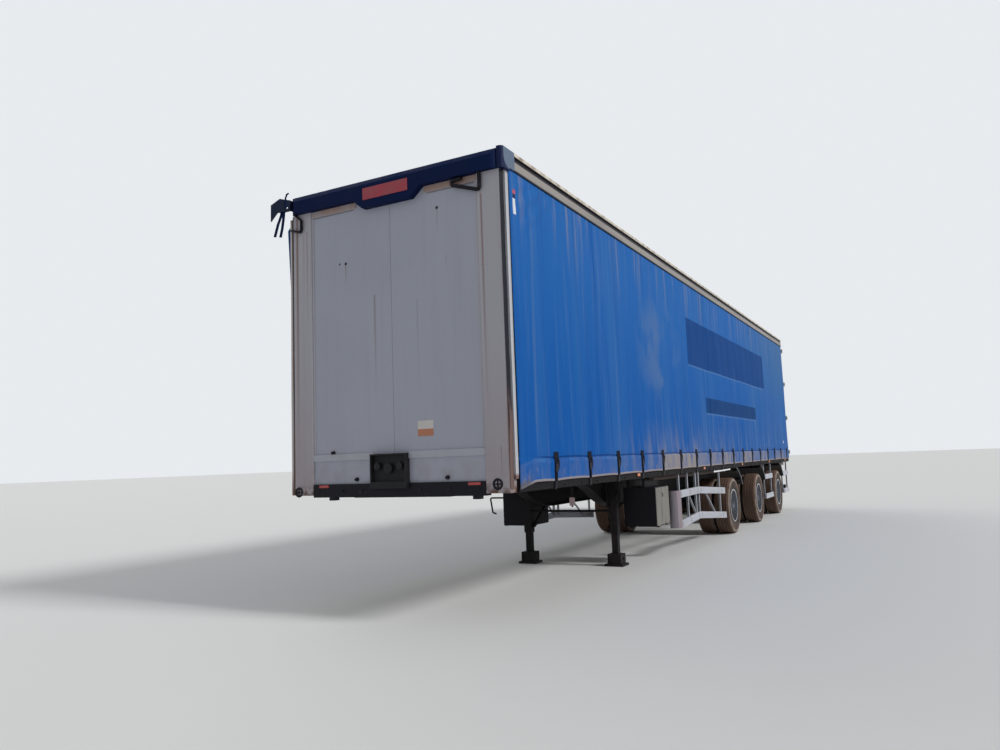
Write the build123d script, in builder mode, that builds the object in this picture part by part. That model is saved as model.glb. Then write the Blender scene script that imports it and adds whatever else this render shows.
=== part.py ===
from build123d import *
import os
from math import asin, cos, degrees, radians, sin

# Curtain-sided semi trailer on three spread axles with twin tyres, parked on its landing legs.
# Millimetres. +Z is up, the front wall faces -Y and +X is the trailer's own left side.
# The origin is on the ground, midway along the length and the width.

# Overall size
body_length = 15400  # front wall posts to the closed rear doors
body_width = 2600  # over the buckles of the curtain straps
body_height = 4325  # ground to roof
end_reach = 60  # how far the front cap and the rear buffers stand out
soft_gap = 0.3  # clearance round the curtains and the straps
front_y = -body_length / 2
rear_y = body_length / 2
half_width = body_width / 2

# Levels of the floor and the frame under it
coupling_height = 1150  # underside of the coupling plate
plate_thickness = 8
rail_foot = 1180  # underside of the side rails and the crossmembers
floor_top = 1300
floor_thickness = 28
floor_foot = floor_top - floor_thickness

# Side rails, roof rails and front cap
rail_width = 70
rail_wall = 8
strap_room = 25  # from the buckles' face in to the rails' outer face
rail_outer_x = half_width - strap_room
rail_inner_x = rail_outer_x - rail_width
cap_height = 205
cap_foot = body_height - cap_height  # underside of the cap, and top of the posts and poles
corner_width = 60
cap_half_width = half_width - corner_width
cap_front_y = front_y - end_reach

# Front wall
post_width = 250
post_depth = 120
side_inset = 50  # posts, frame and boxes lie this far inside the full width
post_outer_x = half_width - side_inset
post_inner_x = post_outer_x - post_width
post_back_y = front_y + post_depth
cap_back_y = post_back_y
wall_recess = 20
wall_thickness = 40
wall_seam = 3
wall_front_y = front_y + wall_recess
wall_back_y = wall_front_y + wall_thickness
front_beam_foot = 1160
front_beam_top = 1290
front_beam_depth = 100
front_beam_back_y = front_y + front_beam_depth
edge_strip_length = 55
edge_strip_front_y = post_back_y - edge_strip_length
curtain_front_y = post_back_y
corner_lap = 100  # how far the corner cap reaches back over the curtain's top
corner_end_y = curtain_front_y + corner_lap

# Rear frame and doors
frame_depth = 90
frame_gap = 5  # doors to frame
door_thickness = 45
door_front_y = rear_y - door_thickness
frame_back_y = door_front_y - frame_gap
frame_front_y = frame_back_y - frame_depth
frame_post_width = 70
frame_outer_x = half_width - side_inset
frame_inner_x = frame_outer_x - frame_post_width
header_height = 145
header_foot = body_height - header_height
door_gap = 12  # between the two doors
door_edge_inset = 10
door_outer_x = frame_outer_x - door_edge_inset
door_foot_rise = 35
door_foot = rail_foot + door_foot_rise
door_lap = 70  # how far the doors reach up over the header
door_top = header_foot + door_lap
hinge_inset = 15
hinge_x = half_width - hinge_inset
hinge_y = rear_y + hinge_inset
hinge_pin_radius = 8
hinge_barrel_radius = 14
hinge_clearance = 0.05
hinge_barrel_height = 60
hinge_lug_height = 24
hinge_count = 4
hinge_end_margin = 205  # door's lower and upper edges to the outermost hinges


def spread(low, high, count):
    """Evenly spaced values from low to high."""
    return [low + (high - low) * n / (count - 1) for n in range(count)]


hinge_levels = spread(door_foot + hinge_end_margin, door_top - hinge_end_margin, hinge_count)

# Chassis beams
beam_x = 500  # web, from the middle
flange_width = 150
flange_thickness = 12
web_thickness = 8
neck_foot = coupling_height + plate_thickness
neck_length = 2900
neck_end_y = front_y + neck_length
neck_run = 1600  # length over which the beam deepens
deep_start_y = neck_end_y + neck_run
deep_foot = 780
tail_foot = 1000
flange_outer_x = beam_x + flange_width / 2
flange_inner_x = beam_x - flange_width / 2

# Crossmembers
cross_pitch = 500
cross_width = 60
cross_skin = 6
cross_setback = 350
cross_first_y = front_y + cross_setback

# Coupling plate and kingpin
coupling_half_width = 560
coupling_end_gap = 100
coupling_end_y = neck_end_y - coupling_end_gap
kingpin_setback = 1550
kingpin_y = front_y + kingpin_setback
pin_shoulder_radius = 36.5
pin_shoulder_height = 21
pin_neck_radius = 25.4
pin_neck_height = 35
pin_head_radius = 35.75
pin_total_height = 84
pin_flange_radius = 90  # disc that rests on the plate, inside the neck
pin_flange_height = 14
pin_clearance = 1

# Wheels and axles
wheel_radius = 500
tyre_half_width = 137.5
tread_half_width = 112
shoulder_radius = 405  # where the side wall is widest
bead_radius = 286
bead_half_width = 112
wheel_inset = 20
wheel_outer_x = half_width - wheel_inset
twin_spacing = 310
outer_tyre_x = wheel_outer_x - tyre_half_width
inner_tyre_x = outer_tyre_x - twin_spacing
axle_count = 3
axle_spacing = 2400
rear_overhang = 1940  # last axle to the closed doors
last_axle_y = rear_y - rear_overhang
first_axle_y = last_axle_y - (axle_count - 1) * axle_spacing
axle_ys = [first_axle_y + n * axle_spacing for n in range(axle_count)]
axle_tube_radius = 63.5
hub_inset = 5
hub_inner_x = inner_tyre_x - tyre_half_width + hub_inset
hub_gap = 10  # axle tube to the turning hub
axle_tube_half_length = hub_inner_x - hub_gap
spindle_radius = 45
spindle_length = 210
spindle_end_x = axle_tube_half_length + spindle_length
spindle_clearance = 0.05

# Where the chassis tail begins to rise
tail_start_reach = 700  # from the last axle
tail_start_y = last_axle_y + tail_start_reach

# Landing legs
leg_x = 650
leg_setback = 4110
leg_y = front_y + leg_setback
leg_size = 110
leg_inner_size = 86
leg_sleeve_foot = 430
leg_foot_length = 260
leg_foot_width = 240
leg_foot_height = 30
leg_shoe_size = 190  # box round the leg's end, on its foot
leg_shoe_top = 160

# Tool boxes
box_inner_x = 720
box_inset = 130
box_outer_x = half_width - box_inset
box_length = 600
leg_to_box = 205  # middle of the leg to the box's front
box_front_y = leg_y + leg_to_box
box_back_y = box_front_y + box_length
box_foot = 500
box_top = 1030
box_wall = 8
lid_gap = 1
lid_thickness = 8
lid_margin = 10
lid_axis_gap = 9
lid_axis_x = box_outer_x + lid_axis_gap
lid_axis_drop = 2
lid_axis_z = box_foot - lid_axis_drop
lid_pin_radius = 5
lid_barrel_radius = 8
lid_barrel_length = 60
lid_lug_length = 20
lid_end_gap = 0.5  # along the pin, between a barrel and a lug
lid_hinge_inset = 110
lid_lift = 8  # lid's lower edge over the barrels, so that it swings clear of the lugs
lid_foot = lid_axis_z + lid_barrel_radius + lid_lift

# Curtains and straps
curtain_thickness = 6
curtain_inner_x = rail_outer_x + soft_gap
curtain_outer_x = curtain_inner_x + curtain_thickness
curtain_drop = 50
curtain_foot = floor_top - curtain_drop
roof_rail_lip = cap_foot + 30  # lower edge of the roof rail's outer face, over the curtain's top
curtain_top = roof_rail_lip - soft_gap
curtain_rear_gap = 20  # from the rear posts
curtain_rear_y = frame_front_y - curtain_rear_gap
strap_count = 17
strap_front_setback = 883
strap_first_y = front_y + strap_front_setback
strap_rear_setback = 493
strap_last_y = rear_y - strap_rear_setback
strap_pitch = (strap_last_y - strap_first_y) / (strap_count - 1)
strap_width = 45
strap_thickness = 4
strap_rise = 230
strap_top = floor_top + strap_rise
strap_inner_x = curtain_outer_x + soft_gap
strap_ys = [strap_first_y + n * strap_pitch for n in range(strap_count)]

os.makedirs("parts", exist_ok=True)


def save(piece, name):
    """Labels a finished sub-part and writes its file."""
    piece.part.label = name
    export_step(piece.part, f"parts/{name}.step")


def block(x_range, y_range, z_range, mode=Mode.ADD):
    """A box given by its two limits on each axis."""
    (x0, x1), (y0, y1), (z0, z1) = x_range, y_range, z_range
    with Locations(((x0 + x1) / 2, (y0 + y1) / 2, (z0 + z1) / 2)):
        Box(abs(x1 - x0), abs(y1 - y0), abs(z1 - z0), mode=mode)


def row(x_range, ys, width, z_range):
    """Like boxes in a row along the trailer, each centred on one of ys."""
    (x0, x1), (z0, z1) = x_range, z_range
    with Locations(*[((x0 + x1) / 2, y, (z0 + z1) / 2) for y in ys]):
        Box(abs(x1 - x0), width, z1 - z0)


def both_sides(x_range):
    """The same span on the left side and mirrored on the right."""
    low, high = x_range
    return (low, high), (-high, -low)


# Chassis: two beams with a shallow neck at the front, deep behind it, rising at the tail
def beam_outline(inset):
    """Side outline of a chassis beam, drawn inwards by inset."""
    neck_end = (neck_end_y, neck_foot)
    deep_start = (deep_start_y, deep_foot)
    middle = ((neck_end_y + deep_start_y) / 2, (neck_foot + deep_foot) / 2)
    with BuildSketch() as outline:
        with BuildLine():
            Polyline(
                neck_end,
                (front_beam_back_y, neck_foot),
                (front_beam_back_y, floor_foot),
                (frame_front_y, floor_foot),
                (frame_front_y, tail_foot),
                (tail_start_y, deep_foot),
                deep_start,
            )
            TangentArc(deep_start, middle, tangent=(-1, 0))
            TangentArc(neck_end, middle, tangent=(1, 0))
        make_face()
        if inset:
            offset(amount=-inset, kind=Kind.INTERSECTION)
    return outline.sketch


with BuildPart() as chassis_beams:
    for x in (beam_x, -beam_x):
        with BuildSketch(Plane.YZ.offset(x - flange_width / 2)):
            add(beam_outline(0))
        extrude(amount=flange_width)
        for pocket_x in (x - flange_width / 2, x + web_thickness / 2):
            with BuildSketch(Plane.YZ.offset(pocket_x)):
                add(beam_outline(flange_thickness))
            extrude(amount=(flange_width - web_thickness) / 2, mode=Mode.SUBTRACT)
save(chassis_beams, "chassis_beams")

# Crossmembers: channels between the beams and out to both side rails
cross_count = int((frame_front_y - cross_first_y) / cross_pitch) + 1
cross_ys = [cross_first_y + n * cross_pitch for n in range(cross_count)]
cross_depth = floor_foot - rail_foot
with BuildPart() as crossmembers:
    spans = [(-flange_inner_x, flange_inner_x), *both_sides((flange_outer_x, rail_inner_x))]
    for low_x, high_x in spans:
        middle_x = (low_x + high_x) / 2
        middle_z = rail_foot + cross_depth / 2
        with Locations(*[(middle_x, y, middle_z) for y in cross_ys]):
            Box(high_x - low_x, cross_width, cross_depth)
        with Locations(*[(middle_x, y + cross_skin, middle_z) for y in cross_ys]):
            Box(high_x - low_x, cross_width, cross_depth - 2 * cross_skin, mode=Mode.SUBTRACT)
save(crossmembers, "crossmembers")

# Side rails: channels open towards the middle
with BuildPart() as side_rails:
    for x_range in both_sides((rail_inner_x, rail_outer_x)):
        block(x_range, (post_back_y, frame_front_y), (rail_foot, floor_top))
    for x_range in both_sides((rail_inner_x, rail_outer_x - rail_wall)):
        block(
            x_range,
            (post_back_y, frame_front_y),
            (rail_foot + rail_wall, floor_foot - rail_wall),
            Mode.SUBTRACT,
        )
save(side_rails, "side_rails")

with BuildPart() as floor:
    block((-rail_inner_x, rail_inner_x), (post_back_y, frame_front_y), (floor_foot, floor_top))
    block((-post_inner_x, post_inner_x), (front_beam_back_y, post_back_y), (floor_foot, floor_top))
save(floor, "floor")

# Coupling plate under the neck, and its kingpin
with BuildPart() as coupling_plate:
    block(
        (-coupling_half_width, coupling_half_width),
        (front_beam_back_y, coupling_end_y),
        (coupling_height, neck_foot),
    )
    with Locations((0, kingpin_y, coupling_height + plate_thickness / 2)):
        Cylinder(pin_shoulder_radius + pin_clearance, plate_thickness, mode=Mode.SUBTRACT)
save(coupling_plate, "coupling_plate")

shoulder_z = coupling_height - pin_shoulder_height
neck_z = shoulder_z - pin_neck_height
pin_end_z = coupling_height - pin_total_height
with BuildPart() as kingpin:
    with BuildSketch(Plane.XZ.offset(-kingpin_y)):
        with BuildLine():
            Polyline(
                (0, neck_foot + pin_flange_height),
                (pin_flange_radius, neck_foot + pin_flange_height),
                (pin_flange_radius, neck_foot),
                (pin_shoulder_radius, neck_foot),
                (pin_shoulder_radius, shoulder_z),
                (pin_neck_radius, shoulder_z),
                (pin_neck_radius, neck_z),
                (pin_head_radius, neck_z),
                (pin_head_radius, pin_end_z),
                (0, pin_end_z),
                close=True,
            )
        make_face()
    revolve(axis=Axis((0, kingpin_y, 0), (0, 0, 1)))
save(kingpin, "kingpin")

# Front wall: two sheets that meet in the middle, between broad corner posts
with BuildPart() as front_wall:
    for x_range in both_sides((wall_seam / 2, post_inner_x)):
        block(x_range, (wall_front_y, wall_back_y), (front_beam_top, cap_foot))
save(front_wall, "front_wall")

post_rounding = 14
with BuildPart() as front_posts:
    for x_range in both_sides((post_inner_x, post_outer_x)):
        block(x_range, (front_y, post_back_y), (rail_foot, cap_foot))
    fillet(front_posts.edges().filter_by(Axis.Z).group_by(Axis.Y)[0], post_rounding)
    for x_range in both_sides((post_outer_x, rail_outer_x)):
        block(x_range, (edge_strip_front_y, curtain_front_y - soft_gap), (floor_top, cap_foot))
save(front_posts, "front_posts")

front_lug_width = 70
front_lug_drop = 30
front_lug_xs = (-760, 900)
with BuildPart() as front_beam:
    block(
        (-post_inner_x, post_inner_x),
        (front_y, front_beam_back_y),
        (front_beam_foot, front_beam_top),
    )
    for x in front_lug_xs:
        block(
            (x - front_lug_width / 2, x + front_lug_width / 2),
            (front_y, front_y + front_lug_width),
            (front_beam_foot - front_lug_drop, front_beam_foot),
        )
save(front_beam, "front_beam")

# Socket box for the air and light lines, which breaks the moulding across the wall
socket_box_low_x = -250
socket_box_high_x = 170
socket_box_foot = 1240
socket_box_top = 1570
socket_box_reach = 45
socket_box_front_y = front_y - socket_box_reach
socket_box_rim = 14
socket_box_cavity = 45
moulding_foot = 1520
moulding_top = 1585
moulding_depth = 12
with BuildPart() as front_moulding:
    for x_range in ((-post_inner_x, socket_box_low_x), (socket_box_high_x, post_inner_x)):
        block(
            x_range,
            (wall_front_y - moulding_depth, wall_front_y),
            (moulding_foot, moulding_top),
        )
save(front_moulding, "front_moulding")

# Sockets, each with its place across the box, level and radius
sockets = (
    (-170, 1450, 30),
    (90, 1450, 30),
    (-40, 1430, 42),
)
socket_length = 34
with BuildPart() as socket_box:
    block(
        (socket_box_low_x, socket_box_high_x),
        (socket_box_front_y, front_y),
        (socket_box_foot, socket_box_top),
    )
    block(
        (socket_box_low_x, socket_box_high_x),
        (front_y, wall_front_y),
        (front_beam_top, socket_box_top),
    )
    block(
        (socket_box_low_x + socket_box_rim, socket_box_high_x - socket_box_rim),
        (socket_box_front_y, socket_box_front_y + socket_box_cavity),
        (front_beam_top + socket_box_rim, socket_box_top - socket_box_rim),
        Mode.SUBTRACT,
    )
    for x, z, radius in sockets:
        with BuildSketch(Plane.XZ.offset(-(socket_box_front_y + socket_box_cavity))):
            with Locations((x, z)):
                Circle(radius)
        extrude(amount=socket_length)
save(socket_box, "socket_box")

# Front cap: a rounded header over the wall that dips in the middle
cap_nose = 70
cap_bevel = 25
cap_end_rounding = 70
dip_top_half_width = 410
dip_foot_half_width = 290
dip_depth = 100
dip_foot = cap_foot - dip_depth
plate_half_width = 270
plate_drop = 25
plate_foot = cap_foot - plate_drop
plate_rise = 95
plate_top = cap_foot + plate_rise
plate_depth = 6
cap_face_y = cap_front_y + plate_depth
with BuildPart() as header_cap:
    with BuildSketch(Plane.YZ.offset(-cap_half_width)):
        with BuildLine():
            Polyline(
                (cap_back_y, cap_foot),
                (cap_face_y, cap_foot),
                (cap_face_y, body_height - cap_nose),
                (cap_face_y + cap_bevel, body_height - cap_bevel),
                (cap_face_y + cap_nose, body_height),
                (cap_back_y, body_height),
                close=True,
            )
        make_face()
    extrude(amount=2 * cap_half_width)
    with BuildSketch(Plane.XY.offset(cap_foot)) as cap_plan:
        with Locations((0, (cap_face_y + cap_back_y) / 2)):
            Rectangle(2 * cap_half_width, cap_back_y - cap_face_y)
        fillet(cap_plan.vertices().group_by(Axis.Y)[0], cap_end_rounding)
    extrude(amount=body_height - cap_foot, mode=Mode.INTERSECT)
    with BuildSketch(Plane.XZ.offset(-wall_front_y)):
        Polygon(
            (-dip_top_half_width, cap_foot),
            (-dip_foot_half_width, dip_foot),
            (dip_foot_half_width, dip_foot),
            (dip_top_half_width, cap_foot),
            align=None,
        )
    extrude(amount=wall_front_y - cap_face_y)
save(header_cap, "header_cap")

with BuildPart() as header_plate:
    block((-plate_half_width, plate_half_width), (cap_front_y, cap_face_y), (plate_foot, plate_top))
save(header_plate, "header_plate")

# Corner caps: whole on the left, torn loose and standing out on the right
corner_setback = 30
corner_front_y = cap_face_y + corner_setback
corner_rounding = 40
torn_thickness = 30
torn_turn = 30  # degrees that the torn piece is bent forward
torn_setback = 2
torn_front_y = cap_face_y + torn_setback
torn_root_width = torn_thickness * sin(radians(torn_turn))
torn_root_length = 80  # back to where the cap has its full width
torn_root_drop = (40, 150)
torn_outline = (
    (0, torn_root_drop[0]),
    (109, 21),
    (202, 91),
    (203, 265),
    (134, 166),
    (74, 167),
    (0, torn_root_drop[1]),
)  # each point's reach out of the cap's end, and its drop below the roof
with BuildPart() as corner_caps:
    block(
        (cap_half_width, half_width),
        (corner_front_y, corner_end_y),
        (roof_rail_lip, body_height),
    )
    block(
        (cap_half_width, half_width),
        (corner_front_y, curtain_front_y - soft_gap),
        (cap_foot, roof_rail_lip),
    )
    block(
        (rail_inner_x, cap_half_width),
        (cap_back_y, corner_end_y),
        (roof_rail_lip, body_height),
    )
    block(
        (rail_inner_x, rail_outer_x - rail_wall),
        (cap_back_y, corner_end_y),
        (cap_foot, roof_rail_lip),
    )
    front_edges = corner_caps.edges().filter_by(Axis.Z).group_by(Axis.Y)[0]
    fillet(front_edges.sort_by(Axis.X)[-1], corner_rounding)
    torn_out = (-cos(radians(torn_turn)), -sin(radians(torn_turn)), 0)
    torn_forward = (sin(radians(torn_turn)), -cos(radians(torn_turn)), 0)
    torn_plane = Plane(
        origin=(-cap_half_width, torn_front_y, body_height),
        x_dir=torn_out,
        z_dir=torn_forward,
    )
    with BuildSketch(torn_plane):
        Polygon(*torn_outline, align=None)
    extrude(amount=-torn_thickness)
    block(
        (-cap_half_width - torn_root_width, -cap_half_width),
        (torn_front_y, torn_front_y + torn_root_length),
        (body_height - torn_root_drop[1], body_height - torn_root_drop[0]),
    )
save(corner_caps, "corner_caps")

# Bent tube brackets that hang under the cap: a whole one, and one whose arm is bent outwards
bracket_radius = 18
bracket_bend = 24
bracket_gap = 4  # to the posts' face
bracket_y = front_y - bracket_radius - bracket_gap
bracket_drop = 170
# Each route's points: how far inside the cap's end, and how far below the cap
whole_route = ((190, 0), (190, bracket_drop), (590, 34), (380, 23))
bent_route = ((40, 0), (128, 75), (128, bracket_drop + 30), (-5, bracket_drop - 10))
with BuildPart() as header_brackets:
    for side, route in ((1, whole_route), (-1, bent_route)):
        points = [
            (side * (cap_half_width - inset), bracket_y, cap_foot - drop) for inset, drop in route
        ]
        with BuildLine() as path:
            FilletPolyline(*points, radius=bracket_bend)
        with BuildSketch(Plane.XY.offset(cap_foot)):
            with Locations(points[0][:2]):
                Circle(bracket_radius)
        sweep(path=path.wires()[0])
save(header_brackets, "header_brackets")

# Roof: a sheet on bows, between rails with a groove along their outer face
roof_rail_inset = 8
roof_rail_face = half_width - roof_rail_inset
roof_groove_foot_drop = 75
roof_groove_foot = body_height - roof_groove_foot_drop
roof_groove_top_drop = 37
roof_groove_top = body_height - roof_groove_top_drop
roof_groove_depth = 12
roof_sheet_drop = 10
roof_sheet_top = body_height - roof_sheet_drop
roof_sheet_thickness = 12
bow_depth = 40
bow_width = 50
bow_pitch = 1000
bow_setback = 700
bow_first_y = front_y + bow_setback
with BuildPart() as roof_rails:
    for side, start_y in ((1, corner_end_y), (-1, post_back_y)):
        section = [
            (rail_inner_x, cap_foot),
            (rail_outer_x - rail_wall, cap_foot),
            (rail_outer_x - rail_wall, roof_rail_lip),
            (roof_rail_face, roof_rail_lip),
            (roof_rail_face, roof_groove_foot),
            (roof_rail_face - roof_groove_depth, roof_groove_foot),
            (roof_rail_face - roof_groove_depth, roof_groove_top),
            (half_width, roof_groove_top),
            (half_width, body_height),
            (rail_inner_x, body_height),
        ]
        with BuildSketch(Plane.XZ.offset(-start_y)):
            Polygon(*[(side * x, z) for x, z in section], align=None)
        extrude(amount=-(frame_front_y - start_y))
save(roof_rails, "roof_rails")

roof_sheet_foot = roof_sheet_top - roof_sheet_thickness
bow_count = int((frame_front_y - bow_first_y) / bow_pitch) + 1
bow_ys = [bow_first_y + n * bow_pitch for n in range(bow_count)]
with BuildPart() as roof:
    block(
        (-rail_inner_x, rail_inner_x),
        (cap_back_y, frame_front_y),
        (roof_sheet_foot, roof_sheet_top),
    )
    with Locations(*[(0, y, roof_sheet_foot - bow_depth / 2) for y in bow_ys]):
        Box(2 * rail_inner_x, bow_width, bow_depth)
save(roof, "roof")

# Curtains, one along each side
with BuildPart() as curtains:
    for x_range in both_sides((curtain_inner_x, curtain_outer_x)):
        block(x_range, (curtain_front_y, curtain_rear_y), (curtain_foot, curtain_top))
save(curtains, "curtains")

# Poles at the curtain ends and the side pillars between them
pole_radius = 33
pole_gap = 5
pole_inset = 12  # inside the rails' outer face
pole_x = rail_outer_x - pole_radius - pole_inset
pillar_inner_x = rail_inner_x
pillar_inset = 15  # inside the rails' outer face
pillar_outer_x = rail_outer_x - pillar_inset
pillar_width = 90
pillar_count = 3
pillar_bays = pillar_count + 1
pillar_ys = spread(front_y, rear_y, pillar_bays + 1)[1:-1]
pole_ys = (post_back_y + pole_radius + pole_gap, frame_front_y - pole_radius - pole_gap)
with BuildPart() as curtain_poles:
    with BuildSketch(Plane.XY.offset(floor_top)):
        with Locations(*[(x, y) for x in (pole_x, -pole_x) for y in pole_ys]):
            Circle(pole_radius)
        with Locations(
            *[
                (side * (pillar_inner_x + pillar_outer_x) / 2, y)
                for side in (1, -1)
                for y in pillar_ys
            ]
        ):
            Rectangle(pillar_outer_x - pillar_inner_x, pillar_width)
    extrude(amount=cap_foot - floor_top)
save(curtain_poles, "curtain_poles")

# Straps: webbing, a buckle, and a hook round the side rail's lower edge
buckle_foot = 1330
buckle_height = 110
buckle_width = 62
hook_top = 1240
hook_thickness = 8
hook_reach = 40
hook_outer_x = strap_inner_x + hook_thickness
with BuildPart() as curtain_straps:
    hook_foot = rail_foot - hook_thickness
    for x_range in both_sides((strap_inner_x, strap_inner_x + strap_thickness)):
        row(x_range, strap_ys, strap_width, (hook_top, strap_top))
    for x_range in both_sides((strap_inner_x, half_width)):
        row(x_range, strap_ys, buckle_width, (buckle_foot, buckle_foot + buckle_height))
    for x_range in both_sides((strap_inner_x, hook_outer_x)):
        row(x_range, strap_ys, strap_width, (hook_foot, hook_top))
    for x_range in both_sides((rail_outer_x - hook_reach, hook_outer_x)):
        row(x_range, strap_ys, strap_width, (hook_foot, rail_foot))
save(curtain_straps, "curtain_straps")

# Rear frame: two posts, a header and a sill, with the fixed half of the door hinges
hinge_lug_reach = hinge_barrel_radius
hinge_lug_length = 30
hinge_end_gap = 0.5  # along the pin, between a barrel and a lug
lug_offset = (hinge_barrel_height + hinge_lug_height) / 2 + hinge_end_gap
lug_inner_x = hinge_x - hinge_lug_length
lug_root_depth = 20  # how far the lugs reach into the posts
lug_root_x = frame_outer_x - lug_root_depth
buffer_width = 90
buffer_height = 115
buffer_inset = 100  # from the posts
buffer_x = frame_inner_x - buffer_inset
buffer_gap = 10  # under the doors
buffer_top = door_foot - buffer_gap
buffer_foot = buffer_top - buffer_height
with BuildPart() as rear_frame:
    for x_range in both_sides((frame_inner_x, frame_outer_x)):
        block(x_range, (frame_front_y, frame_back_y), (rail_foot, body_height))
    for side in (1, -1):
        for z in hinge_levels:
            for lug_z in (z - lug_offset, z + lug_offset):
                block(
                    (side * lug_root_x, side * (hinge_x + hinge_lug_reach)),
                    (frame_back_y - hinge_lug_length, frame_back_y),
                    (lug_z - hinge_lug_height / 2, lug_z + hinge_lug_height / 2),
                )
                block(
                    (side * lug_inner_x, side * (hinge_x + hinge_lug_reach)),
                    (frame_back_y, hinge_y + hinge_lug_reach),
                    (lug_z - hinge_lug_height / 2, lug_z + hinge_lug_height / 2),
                )
            with Locations((side * hinge_x, hinge_y, z)):
                Cylinder(hinge_pin_radius, hinge_barrel_height + 2 * hinge_lug_height)
save(rear_frame, "rear_frame")

with BuildPart() as rear_sill:
    block(
        (-frame_inner_x, frame_inner_x),
        (frame_front_y, frame_back_y),
        (rail_foot, floor_top),
    )
    block(
        (-frame_inner_x, frame_inner_x),
        (frame_front_y, frame_back_y),
        (header_foot, body_height),
    )
    for x_range in both_sides((buffer_x - buffer_width / 2, buffer_x + buffer_width / 2)):
        block(x_range, (frame_back_y, rear_y + end_reach), (buffer_foot, buffer_top))
        block(x_range, (frame_front_y, frame_back_y), (buffer_foot, rail_foot))
save(rear_sill, "rear_sill")

# Rear doors, each with its lock rods and the moving half of its hinges
rod_radius = 13
rod_reach = 25  # how far the rods pass the door's lower and upper edges
rod_foot = door_foot - rod_reach
rod_top = door_top + rod_reach
rod_offset = 28
rod_y = rear_y + rod_offset
inner_rod_x = 170
outer_rod_x = 900
rod_bracket_count = 4
rod_bracket_margin = 285
rod_bracket_levels = spread(
    door_foot + rod_bracket_margin,
    door_top - rod_bracket_margin,
    rod_bracket_count,
)
rod_bracket_width = 70
rod_bracket_height = 40
handle_rise = 435
handle_level = door_foot + handle_rise
handle_length = 420
handle_height = 32
handle_thickness = 12
blade_length = 300
blade_thickness = 8
for name, side in (("left", 1), ("right", -1)):
    with BuildPart() as rear_door:
        block(
            (side * door_gap / 2, side * door_outer_x),
            (door_front_y, rear_y),
            (door_foot, door_top),
        )
    save(rear_door, f"rear_door_{name}")

    with BuildPart() as door_fittings:
        for z in hinge_levels:
            block(
                (side * (door_outer_x - blade_length), side * hinge_x),
                (rear_y, rear_y + blade_thickness),
                (z - hinge_barrel_height / 2, z + hinge_barrel_height / 2),
            )
            with Locations((side * hinge_x, hinge_y, z)):
                Cylinder(hinge_barrel_radius, hinge_barrel_height)
                Cylinder(
                    hinge_pin_radius + hinge_clearance,
                    hinge_barrel_height,
                    mode=Mode.SUBTRACT,
                )
        for x, handle_reach in ((inner_rod_x, handle_length), (outer_rod_x, -handle_length)):
            with BuildSketch(Plane.XY.offset(rod_foot)):
                with Locations((side * x, rod_y)):
                    Circle(rod_radius)
            extrude(amount=rod_top - rod_foot)
            for z in rod_bracket_levels:
                block(
                    (side * (x - rod_bracket_width / 2), side * (x + rod_bracket_width / 2)),
                    (rear_y, rod_y + rod_radius),
                    (z - rod_bracket_height / 2, z + rod_bracket_height / 2),
                )
            block(
                (side * x, side * (x + handle_reach)),
                (rod_y - handle_thickness / 2, rod_y + handle_thickness / 2),
                (handle_level - handle_height / 2, handle_level + handle_height / 2),
            )
    save(door_fittings, f"door_fittings_{name}")

# Landing legs with their feet, and the shaft and crank that work them
leg_bracket_thickness = leg_x - leg_size / 2 - flange_outer_x
leg_face_x = leg_x - leg_size / 2
leg_front_y = leg_y - leg_size / 2
shaft_drop = 50  # under the beams
shaft_z = deep_foot - shaft_drop
shaft_radius = 16
leg_bracket_half_length = 100
brace_width = 80
brace_depth = 35
brace_run = 430
brace_foot = 500
with BuildPart() as landing_legs:
    for side in (1, -1):
        block(
            (side * leg_face_x, side * (leg_face_x + leg_size)),
            (leg_front_y, leg_front_y + leg_size),
            (leg_sleeve_foot, rail_foot),
        )
        block(
            (side * (leg_x - leg_inner_size / 2), side * (leg_x + leg_inner_size / 2)),
            (leg_y - leg_inner_size / 2, leg_y + leg_inner_size / 2),
            (leg_foot_height, leg_sleeve_foot),
        )
        block(
            (side * (leg_x - leg_foot_length / 2), side * (leg_x + leg_foot_length / 2)),
            (leg_y - leg_foot_width / 2, leg_y + leg_foot_width / 2),
            (0, leg_foot_height),
        )
        block(
            (side * (leg_x - leg_shoe_size / 2), side * (leg_x + leg_shoe_size / 2)),
            (leg_y - leg_shoe_size / 2, leg_y + leg_shoe_size / 2),
            (leg_foot_height, leg_shoe_top),
        )
        block(
            (side * flange_outer_x, side * (flange_outer_x + leg_bracket_thickness)),
            (leg_y - leg_bracket_half_length, leg_y + leg_bracket_half_length),
            (deep_foot, rail_foot),
        )
        brace_low_x = min(side * leg_face_x, side * (leg_face_x - brace_depth))
        with BuildSketch(Plane.YZ.offset(brace_low_x)):
            Polygon(
                (leg_front_y, brace_foot),
                (leg_front_y + brace_width, brace_foot),
                (leg_front_y + brace_width + brace_run, deep_foot),
                (leg_front_y + brace_run, deep_foot),
                align=None,
            )
        extrude(amount=brace_depth)
save(landing_legs, "landing_legs")

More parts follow.
